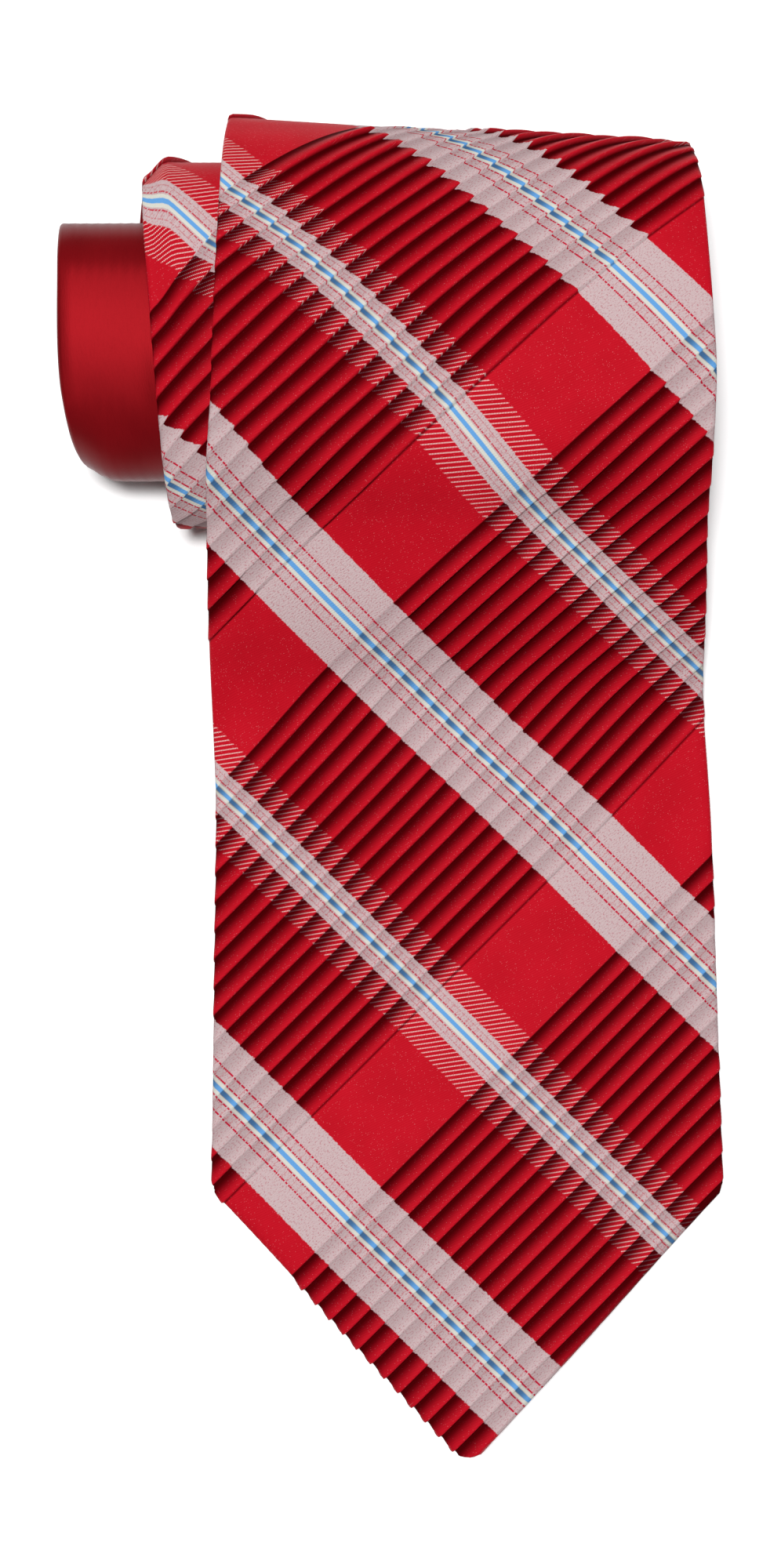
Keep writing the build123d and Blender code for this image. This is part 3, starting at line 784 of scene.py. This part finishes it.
# Where the pleats stand up, and where they are pressed or hidden by the next turn
ROLLED_STATION = (150.0, 215.0)
BENT_STATION = (208.0, 250.0)
COVERED_STATION = (325.0, 350.0)
TAIL_COVERED_STATION = (120.0, 160.0)
SHOWN_LEFT = (-38.0, -33.0)
HIDDEN_SHARE = 0.08
BACK_FADE = 0.65
ROLLED_BACK_FADE = 0.2
TURNED_ANGLE = (0.1, 1.5)
SIDE_SHARE = 0.6
SIDE_REACH = 5.0
EDGE_REACH = 0.8
EDGE_SHARE = 0.3
ROLLED_GAIN = 0.25
PRESSED_FADE = 0.7
UNEVEN = 0.12

# The pleats stagger the stripes that cross them
STAGGER_FLAT = 0.45
STAGGER_TOP = 1.0
STAGGER_ROLLED = 2.6
TIED_SHARE = 0.6
TIED_REACH = (2.6, 7.6)
# Painted shade: how it fades across a pleat's hollow, and the painted crease shadow at each group's last drop
HOLLOW_SHADE = (0.14, 0.90)
LAST_DROP_SHADE = 0.75

# The hem that turns under a pointed end, and the close rows that make its edge straight
HEM_FLAP = 3.5
HEM_SPREAD = 0.42
HEM_FADE = 0.7
GRAZING_ANGLE = 0.8
EDGE_FULLNESS = 0.9
EDGE_ROW_STEP = 0.08
EDGE_ROWS_PAST = 0.6
TIP_MARGIN = 0.02
SOLVER_ROUNDS = 40
FIRST_GUESS = 60.0

Cloth = namedtuple("Cloth", "s x raw row width centre station d half turn")
Hem = namedtuple("Hem", "slope lean side edge_side on_front turned angle out")


def pattern_drift(station):
    """How far the bias pattern slides sideways, and as far ahead, by the second turn of the roll."""
    first = FIRST_DRIFT * smooth(*FIRST_DRIFT_STATION, station)
    return first + SECOND_DRIFT * smooth(*SECOND_DRIFT_STATION, station)


def pattern_slack(station, x):
    """How far the pattern runs ahead of the ruled length: stretched up the rise, eased in round the roll."""
    rise = within(STRETCHED_RISE, station) * (1 - RISE_STRETCH_SKEW * x)
    outer = (WRAP_SLACK - INNER_SLACK) * smooth(*OUTER_SLACK_STATION, station)
    inner = INNER_SLACK * smooth(*INNER_SLACK_STATION, station)
    return outer + inner + pattern_drift(station) - RISE_STRETCH * rise


def exposed(station, across, d):
    """1 where the strand's front can be seen in the roll, 0 where another turn lies on it."""
    outer = 1 - smooth(*COVERED_STATION, station)
    left = 1 - smooth(*SHOWN_LEFT, across)
    return np.where(d < path.half, np.maximum(outer, left), 1 - smooth(*TAIL_COVERED_STATION, station))


def panel_rows(ends_at, corner, slope):
    """u of a panel's rows, from the tip: along the pleats, and close together where they graze an edge."""
    shift = float(centre_at(0.0)) + PATTERN_ACROSS - TIP_Y
    u_seam = (shift - ends_at) / ROOT2
    u_tip = (shift + max((slope - 1) * 2 * corner, EDGE_FULLNESS)) / ROOT2 - TIP_MARGIN
    grazing = corner * (1 - slope)
    steps = np.arange(EDGE_ROW_STEP / 2, abs(grazing) + EDGE_ROWS_PAST, EDGE_ROW_STEP) * np.sign(grazing)
    rows = pleat_row_positions(u_seam, u_tip) + ((shift - steps + EDGE_FULLNESS) / ROOT2).tolist()
    return np.array([u_seam] + sorted(rows))[::-1, None]


def solve_cloth(u, columns, slope, end):
    """Where each row and column lies on the strand; x stops at the pointed end's edges, raw goes on."""
    eased = end is BLADE
    s = np.full((len(u), len(columns)), FIRST_GUESS)
    x = np.zeros(s.shape)
    for _ in range(SOLVER_ROUNDS):
        d, _, _, _, station = path.at(end.first_front + end.direction * s)
        width = width_at(d, station)
        centre = pattern_centre(station) - pattern_drift(station) * eased
        row = centre + PATTERN_ACROSS - TIP_Y - ROOT2 * u - pattern_slack(station, x) * eased
        free = row + EDGE_FULLNESS
        raw = unfolded_x(columns[None, :], width, end.thick)
        low = -slope * np.maximum(free, 0) / (1 + slope)
        high = np.full(free.shape, np.inf)
        if slope < 1:
            high = slope * np.maximum(free, 0) / (1 - slope)
        else:
            low = low - slope * np.minimum(free, 0) / (slope - 1)
        x = np.clip(raw, low, high)
        s = (s + np.maximum(x + row, 0.0)) / 2
    turn = folded_section(x, width, end.thick)[4]
    return Cloth(s, x, raw, row, width, centre, station, d, (width - end.thick) / 2, turn)


def turned_hem(cloth, slope, radius):
    """How the cloth past a pointed edge turns under: its length, its angle and how far out it reaches."""
    lean = math.hypot(1, slope)
    side = np.sign(cloth.raw - cloth.x)
    edge_side = np.where(cloth.row + EDGE_FULLNESS < 0, 1.0, side)
    on_front = 1 - smooth(cloth.half - 0.5, cloth.half + 0.2, np.abs(cloth.x))
    flap = np.minimum(HEM_FLAP, 0.9 * np.abs(cloth.x) * lean)
    turned = np.minimum(np.abs(cloth.raw - cloth.x) * HEM_SPREAD, math.pi * radius + flap) * on_front
    angle = np.minimum(turned / radius, math.pi)
    out = radius * np.sin(angle) - np.maximum(turned - math.pi * radius, 0)
    return Hem(slope, lean, side, edge_side, on_front, turned, angle, out)


def pleat_relief(cloth, hem, u, v, down, seen):
    """How far the cloth stands off its folded section: its pleats, lower on its sides, back and hem."""
    phase, inside, _ = pleat_phase(u)
    rolled = smooth(*ROLLED_STATION, cloth.station)
    facing = 1 - (BACK_FADE + ROLLED_BACK_FADE * rolled) * smooth(*TURNED_ANGLE, cloth.turn)
    inward = smooth(0.0, SIDE_REACH, cloth.half - np.abs(cloth.x)) + (cloth.turn > 2)
    facing = facing * (SIDE_SHARE + (1 - SIDE_SHARE) * inward)
    wander = 1 + UNEVEN * np.sin(u * 0.9 + v * 0.11) * np.sin(v * 0.07 + 1.3)
    height = PLEAT_HEIGHT * facing * wander * (1 + ROLLED_GAIN * rolled) * seen * (1 - PRESSED_FADE * down)
    relief = height * pleat_strength(v) * inside * pleat_profile(phase) - height * down
    edge = smooth(0.0, EDGE_REACH, hem.slope * (cloth.s + EDGE_FULLNESS) - np.abs(cloth.x))
    edge = edge * (1 - hem.on_front) + hem.on_front
    relief = relief * (EDGE_SHARE + (1 - EDGE_SHARE) * edge) * (1 - HEM_FADE * hem.angle / math.pi)
    return relief * np.where(hem.edge_side > 0, 1 - smooth(0.0, GRAZING_ANGLE, hem.angle), 1.0)


def stagger(cloth, u, v):
    """How far a pleat pushes the stripes along it."""
    phase, inside, _ = pleat_phase(u)
    amount = STAGGER_FLAT + (STAGGER_TOP - STAGGER_FLAT) * smooth(*ROLLED_STATION, cloth.station)
    amount = amount + (STAGGER_ROLLED - STAGGER_TOP) * smooth(*BENT_STATION, cloth.station)
    tied = TIED_SHARE + (1 - TIED_SHARE) * smooth(*TIED_REACH, stripe_distance(v, NARROW))
    return amount * (phase - 0.5) * pleat_strength(v) * inside * tied


def hollow_shade(u, down):
    """Strength of the painted shade: 1 in the bottom of a pleat's hollow, 0 on its ridge and on the smooth
    bands.
    """
    phase, inside, local = pleat_phase(u)
    hollow = (1 - smooth(*HOLLOW_SHADE, phase)) * (local > 2 * BAND_EDGE[0]) * inside
    # Painted crease shadow at the foot of each group's last drop
    last_drop = LAST_DROP_SHADE * (np.abs(local - PLEAT_GROUP_LENGTH) < 2 * BAND_EDGE[0])
    return np.maximum(hollow, last_drop) * (1 - 0.5 * down)


def plaid_panel(name, end, ends_at, columns, **options):
    """A pleated plaid panel, from a pointed end to its bias seam; rows of the grid lie along the pleats.

    Columns past the pointed end's edge turn under it as a hem. The narrow end's strand runs the other way, so
    its cloth is laid out mirrored.
    """
    slope = end_slope(end, path.station[0 if end is BLADE else -1])
    radius, direction = end.thick / 2, end.direction
    if end is BLADE:
        ends_at = ends_at + WRAP_SLACK + 2 * (FIRST_DRIFT + SECOND_DRIFT)
    u = panel_rows(ends_at, end.corner, slope)
    cloth = solve_cloth(u, columns, slope, end)
    hem = turned_hem(cloth, slope, radius)
    along = cloth.s + TIP_Y + pattern_slack(cloth.station, cloth.x) * (end is BLADE)
    v = -(cloth.x + cloth.centre + along - PATTERN_ALONG) / ROOT2
    u = np.broadcast_to(u, v.shape)
    down = pressed(end.first_front + direction * cloth.s)
    shown = exposed(cloth.station, centre_at(cloth.station) + direction * cloth.x, cloth.d)
    relief = pleat_relief(cloth, hem, u, v, down, HIDDEN_SHARE + (1 - HIDDEN_SHARE) * shown)

    across, level, out_x, out_n, _ = folded_section(cloth.x, cloth.width, end.thick)
    reach = hem.out + relief * np.sin(hem.angle)
    on_hem = hem.angle > 0
    lift = np.where(on_hem, (radius + relief) * np.cos(hem.angle), level + out_n * relief)
    outward = across + out_x * relief + hem.edge_side * reach / hem.lean
    front = end.first_front + direction * (cloth.s - reach * slope / hem.lean * on_hem)
    x_hem = hem.side * hem.turned
    u_hem = (x_hem + hem.turned * slope) / hem.lean / ROOT2
    x = cloth.x + x_hem
    layers = {
        "fabric": np.stack([u + u_hem, v + stagger(cloth, u, v), hollow_shade(u, down)], axis=-1),
        "unfolded": np.stack([x, cloth.row + x, relief], axis=-1),
    }
    points = strand_point(front, direction * outward, lift)
    material = MATERIALS["plaid_silk"]
    piece = add_piece(name, points, grid_faces(*v.shape), material, "plaid_silk", layers, **options)
    declare_cloth(piece)
    lay_out(piece, 2 * float(np.abs(x).max()), 2)
    return piece


NECK_COLUMNS = feature_columns(27, 5, 8)
NECK_ROW_STEP = 1.0
BIAS_ROUNDS = 14
TUCK_DEPTH = 0.25
TUCK_LENGTH = 1.6
NECK_UNEVEN = 0.12


def bias_columns(rows, thickness):
    """x of each column on rows that lie on the bias, so that a row's front length grows with x."""
    x = np.zeros((len(rows), len(NECK_COLUMNS)))
    for _ in range(BIAS_ROUNDS):
        d, _, _, _, station = path.at(rows + x)
        x = unfolded_x(NECK_COLUMNS[None, :], width_at(d, station), thickness(d))
    return x


def neck_panel():
    """The plain satin neckband: skewed rows between the two bias seams, through the neck fold."""
    rows = np.arange(seam_front, tail_seam_front + NECK_ROW_STEP / 2, NECK_ROW_STEP)[:, None]
    x = bias_columns(rows, path.thickness)
    front = rows + x
    to_seam = np.minimum(rows - rows.min(), rows.max() - rows)
    relief = -TUCK_DEPTH * (1 - smooth(0.0, TUCK_LENGTH, to_seam))
    relief = relief + NECK_UNEVEN * np.sin(front * 0.11 + x * 0.05) * np.sin(x * 0.09)
    layers = {"unfolded": np.stack([x, front, x * 0], axis=-1)}
    faces, material = grid_faces(*front.shape), MATERIALS["satin_silk"]
    piece = add_piece("neck_silk", folded_point(front, x, relief), faces, material, "satin_silk", layers)
    declare_cloth(piece)
    lay_out(piece, 2 * float(np.abs(x).max()), 2)
    return piece


blade_silk = plaid_panel("blade_silk", BLADE, seam_front, feature_columns(73, 6, 12), bends=True)
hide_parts("blade_free_shell", "blade_rolled_shell")
neck_silk = neck_panel()
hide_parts("neck_shell")
tail_silk = plaid_panel("tail_silk", TAIL, LAST - tail_seam_front, feature_columns(31, 5, 9))
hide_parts("tail_shell")


# ---- Slabs of cloth (linings, tippings, labels, loop) and threads ----
THREAD_SIDES = 6
STEEP = 0.9
STITCH_HEIGHT = 0.12
STITCH_POINTS = 6


def slab(name, rows, half_widths, place, thickness, columns, material, slot, **options):
    """A closed flat band of rows and columns; place(row, across, height) gives its points."""
    across = np.linspace(-1, 1, columns)
    ring = np.concatenate([across, across[::-1], across[:1]])
    level = np.concatenate([np.full(columns, 0.5), np.full(columns, -0.5), [0.5]]) * thickness
    rows = np.concatenate([rows[:1], rows, rows[-1:]])
    halves = np.concatenate([half_widths[:1], half_widths, half_widths[-1:]])
    closing = np.ones(len(rows))
    closing[[0, -1]] = 0.0
    grid_rows = np.broadcast_to(rows[:, None], (len(rows), len(ring)))
    x = halves[:, None] * ring[None, :]
    points = place(grid_rows, x, level[None, :] * closing[:, None])
    layers = {"unfolded": np.stack([x, grid_rows, 0 * x], axis=-1)}
    return add_piece(name, points, grid_faces(*x.shape), MATERIALS[material], slot, layers, **options)


def tube(points, radius):
    """Points and faces of a thread along a line, closed at its ends, and its ply coordinates."""
    line = np.asarray(points, float)
    tangent = np.gradient(line, axis=0)
    tangent /= np.linalg.norm(tangent, axis=1, keepdims=True)
    upright = np.tile([0.0, 0.0, 1.0], (len(line), 1))
    upright[np.abs(tangent[:, 2]) > STEEP] = (0.0, 1.0, 0.0)
    side = np.cross(tangent, upright)
    side /= np.linalg.norm(side, axis=1, keepdims=True)
    normal = np.cross(side, tangent)
    turn = np.linspace(0, 2 * math.pi, THREAD_SIDES + 1)
    size = np.full(len(line), radius)
    size[[0, -1]] = 0.0
    ring = np.cos(turn)[None, :, None] * side[:, None, :] + np.sin(turn)[None, :, None] * normal[:, None, :]
    surface = line[:, None, :] + size[:, None, None] * ring
    run = np.concatenate([[0], np.cumsum(np.linalg.norm(np.diff(line, axis=0), axis=1))])
    around = np.broadcast_to(turn[None, :], surface.shape[:2])
    along = np.broadcast_to(run[:, None], surface.shape[:2]) / MM
    ply = np.stack([around, along, 0 * along], axis=-1)
    return surface.reshape(-1, 3), grid_faces(*surface.shape[:2]), ply.reshape(-1, 3)


def thread_piece(name, lines, radius, material="thread", slot="thread", **options):
    """One mesh of several threads; lines are in metres."""
    points, faces, plies, count = [], [], [], 0
    for line in lines:
        line_points, line_faces, line_plies = tube(line, radius * MM)
        points.append(line_points)
        faces.append(line_faces + count)
        plies.append(line_plies)
        count += len(line_points)
    points, faces, plies = np.concatenate(points), np.concatenate(faces), np.concatenate(plies)
    return add_piece(name, points, faces, MATERIALS[material], slot, {"ply": plies}, **options)


def stitch(start, end, normal):
    """A single stitch: an arch from one point (mm) to another, ends sunk a little in the cloth."""
    share = np.linspace(0, 1, STITCH_POINTS)[:, None]
    arch = (np.sin(math.pi * share) * 1.6 - 0.5) * STITCH_HEIGHT
    return (np.asarray(start) * (1 - share) + np.asarray(end) * share + arch * np.asarray(normal)) * MM


# ---- Interlinings and tippings ----
POINT_HALF = 0.02
BAND_COLUMNS = 25
LINING_INSET = 0.4
LINING_SPARE = 0.1
LINING_STEP = 1.25
FOLD_SQUEEZE = 0.7
FOLD_MARGIN = 1.5
ZIGZAG_POINTS = 29
TIPPING_INSET = 1.5
TIPPING_TIP_INSET = 1.0
TIPPING_PAST_V = 4.0
TIPPING_STEP = 1.5
TIPPING_THICK = 0.1
TIPPING_DEPTH = 0.16


def pointed_halves(rows, start, slope, inset, end):
    """Half widths of a band that starts in a point and then keeps inside the tie's edges."""
    d, _, _, _, station = path.at(end.first_front + end.direction * rows)
    return np.minimum(width_at(d, station) / 2 - inset, np.maximum(slope * (rows - start), POINT_HALF))


def lining(name, end, **options):
    """A wool interlining from the tip to the neck fold, pressed thinner where the lifted blade folds."""
    slope = end_slope(end)
    start = (LINING_INSET + end.thick / 2) * math.hypot(1, slope) / slope
    rows = np.arange(start, abs(FOLD_FRONT - end.first_front) - FOLD_MARGIN, LINING_STEP)
    halves = pointed_halves(rows, start, slope, LINING_INSET, end)

    def place(along, x, height):
        front = end.first_front + end.direction * along
        _, _, _, _, station = path.at(front)
        squeeze = FOLD_SQUEEZE * within(LIFTED_FOLD, station) * (end is BLADE)
        return strand_point(front, x, height * (1 - squeeze))

    thickness = end.thick - 2 * LINING_INSET + LINING_SPARE
    piece = slab(name, rows, halves, place, thickness, BAND_COLUMNS, "wool", "wool", **options)
    declare_cloth(piece, faces=2)
    return piece


def tipping(name, end):
    """The lining that shows in the open V of a pointed end's back."""
    slope = end_slope(end)
    start = (end.thick / 2 + TIPPING_TIP_INSET) * math.hypot(1, slope) / slope
    rows = np.arange(start, end.v_end + TIPPING_PAST_V, TIPPING_STEP)
    halves = pointed_halves(rows, start, slope, TIPPING_INSET, end)
    level = TIPPING_DEPTH - end.thick / 2

    def place(along, x, height):
        return strand_point(end.first_front + end.direction * along, x, level + height)

    silk = "tipping_silk"
    piece = slab(name, rows, halves, place, TIPPING_THICK, BAND_COLUMNS, silk, silk, body=end.body)
    declare_cloth(piece, faces=2)
    return piece


def join_line():
    """The zigzag that joins the two interlinings, across its CAD box."""
    low, high = [np.array(corner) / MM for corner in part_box("interlining_join_stitch")]
    across = np.linspace(low[0], high[0], ZIGZAG_POINTS)
    heights = np.where(np.arange(ZIGZAG_POINTS) % 2, low[2], high[2])
    return np.stack([across, np.full(ZIGZAG_POINTS, (low[1] + high[1]) / 2), heights], axis=-1) * MM


blade_lining = lining("blade_lining", BLADE, bends=True)
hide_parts("blade_free_interlining", "blade_rolled_interlining")
tail_lining = lining("tail_lining", TAIL)
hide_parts("tail_interlining")
join_stitch = thread_piece("join_stitch", [join_line()], THREAD_RADIUS, "label_thread")
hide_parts("interlining_join_stitch")
blade_tipping = tipping("blade_tipping_silk", BLADE)
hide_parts("blade_tipping")
tail_tipping = tipping("tail_tipping_silk", TAIL)
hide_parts("tail_tipping")


# ---- Hand stitches, keeper loop, labels and tacks on the two backs ----
DOWN, UP = (0, 0, -1), (0, 0, 1)
STITCH_SINK = 0.02
BLADE_HEM_HALF = 47.1
TAIL_HEM_HALF = 22.5
HEM_STITCH_REACH = 0.96
HEM_STITCH_INSET = 3.0
HEM_STITCH_HALF = 0.7
HEM_STITCH_SLANT = (0.3, 1.1)
LOOP_Y = -6.0
LOOP_LONG = 45.0
LOOP_WIDE = 11.0
LOOP_PAD = 4.0
LOOP_THICK = 0.3
LOOP_ROWS = 61
LOOP_SLACK = 0.28
LOOP_LIFT = 0.30
LOOP_STITCHES = 7
LOOP_STITCH_LEVEL = 0.46
LABEL_ROWS = 31
LABEL_CLEAR = 0.03
LABEL_STITCH_PITCH = 1.6
LABEL_STITCH_HALF = 0.55
LABEL_STITCH_INSET = 0.8
LABEL_THREAD_RADIUS = 0.11
TACK_TURNS = 22
TACK_LONG = 5.0
TACK_HALF_WIDE = 0.6
SLIP_SHORT = 1.0
SLIP_PITCH = 7.0
SLIP_STEP = 0.9
SLIP_HALF_WIDE = 0.55
SLIP_WAVE = 0.03
SLACK_RADIUS = 3.85
SLACK_POINTS = 60
ALLOWANCE = 6.0
ALLOWANCE_ROWS = 13
ALLOWANCE_SHARE = 0.995
ALLOWANCE_DEPTH = 0.1


def flat_back(x, y, below=0.0):
    """Point (mm) on the flat blade's back at a plan place, a distance below it."""
    across = x - centre_at(y - TIP_Y)
    return np.array([x, y, FLAT_BACK_Z + float(droop(across, y, 0.0)) - below])


def on_blade_back(x, y):
    return flat_back(x, y, STITCH_SINK)


def on_tail_back(x, y):
    return np.array([x, y, TAIL_THICK + STITCH_SINK])


def edge_stitches(end, half, on_back, normal, count):
    """Slanted stitches that catch the tipping to the hem along both edges of a pointed end."""
    lines = []
    tip = np.array([float(centre_at(0.0)), end.tip_y])
    long = math.hypot(half, end.corner)
    for side in (-1, 1):
        edge = np.array([side * half, end.corner]) / long
        inward = np.array([-side * end.corner, half]) / long
        for share in (np.arange(count) + 1.5) / (count + 1.5):
            base = tip + edge * long * share * HEM_STITCH_REACH + inward * HEM_STITCH_INSET
            outer = base - edge * HEM_STITCH_HALF + inward * HEM_STITCH_SLANT[0]
            inner = base + edge * HEM_STITCH_HALF + inward * HEM_STITCH_SLANT[1]
            lines.append(stitch(on_back(*outer), on_back(*inner), normal))
    return lines


def keeper_band():
    """The keeper loop: a folded band that hangs a little off the back between its sewn ends."""
    loop_x = float(centre_at(LOOP_Y - TIP_Y))

    def place(rows, x, height):
        sewn = smooth(LOOP_LONG / 2 - LOOP_PAD, LOOP_LONG / 2 - 1.0, np.abs(rows))
        sag = LOOP_LIFT + LOOP_SLACK * (1 - sewn)
        z = FLAT_BACK_Z + droop(rows, LOOP_Y + 0 * rows, 0.0) - sag + height
        return np.stack([loop_x + rows, LOOP_Y + x, z], axis=-1) * MM

    rows = np.linspace(-LOOP_LONG / 2 + 0.2, LOOP_LONG / 2 - 0.2, LOOP_ROWS)
    halves = np.full(LOOP_ROWS, LOOP_WIDE / 2)
    piece = slab("keeper_band", rows, halves, place, LOOP_THICK, 9, "loop_silk", "loop_silk", bends=True)
    declare_cloth(piece, faces=2)
    return piece


def keeper_lines():
    """The stitches across both ends of the keeper loop."""
    lines = []
    for side in (-1, 1):
        x = float(centre_at(LOOP_Y - TIP_Y)) + side * (LOOP_LONG / 2 - LOOP_PAD / 2)
        for share in np.linspace(-0.42, 0.42, LOOP_STITCHES):
            y = LOOP_Y + share * LOOP_WIDE
            ends = [flat_back(x, y + step, LOOP_STITCH_LEVEL) for step in (-0.5, 0.5)]
            lines.append(stitch(*ends, DOWN))
    return lines


def label(name, node, centre_y, size, on_back, normal, weave, body):
    """A blank woven label with stitches down its two short ends."""
    x0 = float(centre_at(centre_y - TIP_Y))
    across, tall, thick = size
    sign = normal[2]

    def place(rows, x, height):
        z = np.vectorize(lambda a, b: on_back(a, b)[2])(x0 + rows, centre_y + x)
        z = z + sign * (thick / 2 + LABEL_CLEAR) + height
        return np.stack([x0 + rows, centre_y + x, z], axis=-1) * MM

    rows = np.linspace(-across / 2, across / 2, LABEL_ROWS)
    halves = np.full(LABEL_ROWS, tall / 2)
    piece = slab(name, rows, halves, place, thick, 7, weave, "label_weave", body=body)
    declare_cloth(piece, faces=2)
    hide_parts(node)
    lines = []
    outer = np.array([0, 0, sign * (thick + 0.05)])
    for side in (-1, 1):
        x = x0 + side * (across / 2 - LABEL_STITCH_INSET)
        for share in np.linspace(-0.44, 0.44, int(tall / LABEL_STITCH_PITCH)):
            y = centre_y + share * tall
            ends = [on_back(x, y + step) + outer for step in (-LABEL_STITCH_HALF, LABEL_STITCH_HALF)]
            lines.append(stitch(*ends, normal))
    thread = "label_thread"
    stitches = thread_piece(f"{name}_sewing", lines, LABEL_THREAD_RADIUS, thread, thread, body=body)
    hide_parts(f"{node}_stitches")


def bar_tack(name, end, z, normal):
    """Dense satin stitches across the back seam, where it starts past the open V."""
    y = end.tip_y + end.v_end + TACK_PAST_V
    t = np.linspace(0, 1, TACK_TURNS * 8)
    swing = 2 * math.pi * TACK_TURNS * t
    lift = 0.13 * np.sin(swing) + 0.10
    x = float(centre_at(y - TIP_Y)) + TACK_LONG * (t - 0.5)
    line = np.stack([x, y + TACK_HALF_WIDE * np.cos(swing), z + normal[2] * lift], axis=-1)
    return thread_piece(name, [line * MM], FINE_THREAD_RADIUS, body=end.body)


def slip_stitch(name, end, **options):
    """The loose thread that zigzags over the back seam, from the tack to the neck fold."""
    start = end.v_end + STITCH_PAST_V
    stop = abs(FOLD_FRONT - end.first_front) - SLIP_SHORT
    t = np.linspace(start, stop, int((stop - start) / SLIP_STEP))
    swing = SLIP_HALF_WIDE * np.sin(2 * math.pi * t / SLIP_PITCH)
    wave = SLIP_WAVE * np.cos(4 * math.pi * t / SLIP_PITCH)
    line = strand_point(end.first_front + end.direction * t, swing, STITCH_SINK - end.thick / 2 + wave)
    return thread_piece(name, [line], FINE_THREAD_RADIUS, **options)


def slack_line():
    """The slip stitch's spare loop, lying under the end of the blade's V."""
    turn = np.linspace(0, 2 * math.pi * 0.97, SLACK_POINTS)
    size = SLACK_RADIUS * (1 + 0.06 * np.sin(3 * turn))
    x = float(centre_at(BLADE.v_end)) + 0.8 * size * np.sin(turn)
    y = TIP_Y + BLADE.v_end - TIPPING_PAST_V - TACK_PAST_V + size * np.cos(turn)
    return np.stack([x, y, FLAT_BACK_Z - 0.14 - 0.05 * np.sin(turn / 2)], axis=-1) * MM


def seam_allowance(name, middle, thick):
    """The turned-in allowances of a bias seam's two panels, just inside the silk."""
    rows = middle + np.linspace(-ALLOWANCE, ALLOWANCE, ALLOWANCE_ROWS)[:, None]
    x = bias_columns(rows, lambda d: thick)
    points = folded_point(rows + x, x * ALLOWANCE_SHARE, np.full(x.shape, -ALLOWANCE_DEPTH))
    layers = {"unfolded": np.stack([x, rows + 0 * x, 0 * x], axis=-1)}
    piece = add_piece(name, points, grid_faces(*x.shape), MATERIALS["satin_silk"], "satin_silk", layers)
    declare_cloth(piece)
    return piece


lines = edge_stitches(BLADE, BLADE_HEM_HALF, on_blade_back, DOWN, 24)
blade_hem_stitches = thread_piece("blade_hem_stitches", lines, THREAD_RADIUS, body="blade")
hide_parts("blade_tipping_stitches")
lines = edge_stitches(TAIL, TAIL_HEM_HALF, on_tail_back, UP, 10)
tail_hem_stitches = thread_piece("tail_hem_stitches", lines, THREAD_RADIUS)
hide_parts("tail_tipping_stitches")

keeper = keeper_band()
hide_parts("keeper_loop")
keeper_stitches = thread_piece("keeper_stitches", keeper_lines(), THREAD_RADIUS, bends=True)
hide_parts("keeper_loop_stitches")

label("maker_tag", "maker_label", -52.0, (48.0, 18.0, 0.25), flat_back, DOWN, "label_weave", "blade")
label("care_tag", "care_label", -30.0, (26.0, 14.0, 0.2), on_tail_back, UP, "care_weave", "roll")

blade_tack = bar_tack("blade_tack_thread", BLADE, FLAT_BACK_Z, DOWN)
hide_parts("blade_bar_tack")
tail_tack = bar_tack("tail_tack_thread", TAIL, TAIL_THICK, UP)
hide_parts("tail_bar_tack")

blade_slip = slip_stitch("blade_slip_thread", BLADE, bends=True)
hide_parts("blade_slip_stitch", "roll_slip_stitch")
tail_slip = slip_stitch("tail_slip_thread", TAIL)
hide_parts("roll_slip_stitch")
slack_loop = thread_piece("slack_loop", [slack_line()], THREAD_RADIUS, body="blade")
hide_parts("slip_stitch_loop")

blade_neck = seam_allowance("blade_neck_allowance", seam_front, BLADE_THICK)
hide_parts("blade_neck_seam")
neck_tail = seam_allowance("neck_tail_allowance", tail_seam_front, TAIL_THICK)
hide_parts("neck_tail_seam")


# ---- Floor, light and camera ----
CAMERA_DISTANCE = 450.0
VIEW_HEIGHT = 289.6
VIEW_LEVEL = 4.2
VIEW_CENTRE = (-1.1, 3.15)
FLOOR_HALF = 3.0
PAPER = (0.92, 0.92, 0.92)
WORLD_STRENGTH = 0.12


def make_floor():
    """A plain white sheet of paper under the tie."""
    mesh = bpy.data.meshes.new("floor")
    corners = [(x * FLOOR_HALF, y * FLOOR_HALF, 0) for x, y in ((-1, -1), (1, -1), (1, 1), (-1, 1))]
    mesh.from_pydata(corners, [], [(0, 1, 2, 3)])
    floor = bpy.data.objects.new("floor", mesh)
    bpy.context.scene.collection.objects.link(floor)
    paper = Shader("floor_paper", 0.9, specular=0.1)
    paper.colour((*PAPER, 1))
    mesh.materials.append(paper.material)


def area_light(name, place, size, power):
    """A square soft light (metres, watts) that faces the origin."""
    light = bpy.data.lights.new(name, "AREA")
    light.size, light.energy = size, power
    holder = bpy.data.objects.new(name, light)
    holder.location = place
    holder.rotation_euler = (-Vector(place)).to_track_quat("-Z", "Y").to_euler()
    bpy.context.scene.collection.objects.link(holder)


def make_camera():
    """A camera straight above, at the distance that the roll's outline suggests."""
    camera = bpy.data.cameras.new("camera")
    camera.lens = camera.sensor_width * CAMERA_DISTANCE / VIEW_HEIGHT
    camera.clip_start = 0.01
    holder = bpy.data.objects.new("camera", camera)
    holder.location = (VIEW_CENTRE[0] * MM, VIEW_CENTRE[1] * MM, (CAMERA_DISTANCE + VIEW_LEVEL) * MM)
    bpy.context.scene.collection.objects.link(holder)
    bpy.context.scene.camera = holder


def make_world():
    """Faint even light from all round."""
    world = bpy.data.worlds.new("studio")
    world.use_nodes = True
    background = world.node_tree.nodes["Background"]
    background.inputs["Color"].default_value = (1, 1, 1, 1)
    background.inputs["Strength"].default_value = WORLD_STRENGTH
    bpy.context.scene.world = world


make_floor()
make_camera()
make_world()
area_light("key", (-0.25, 0.30, 2.2), 0.7, 63.0)
area_light("fill", (0.5, -0.6, 1.3), 1.2, 2.0)
bpy.context.scene.view_settings.view_transform = "Standard"
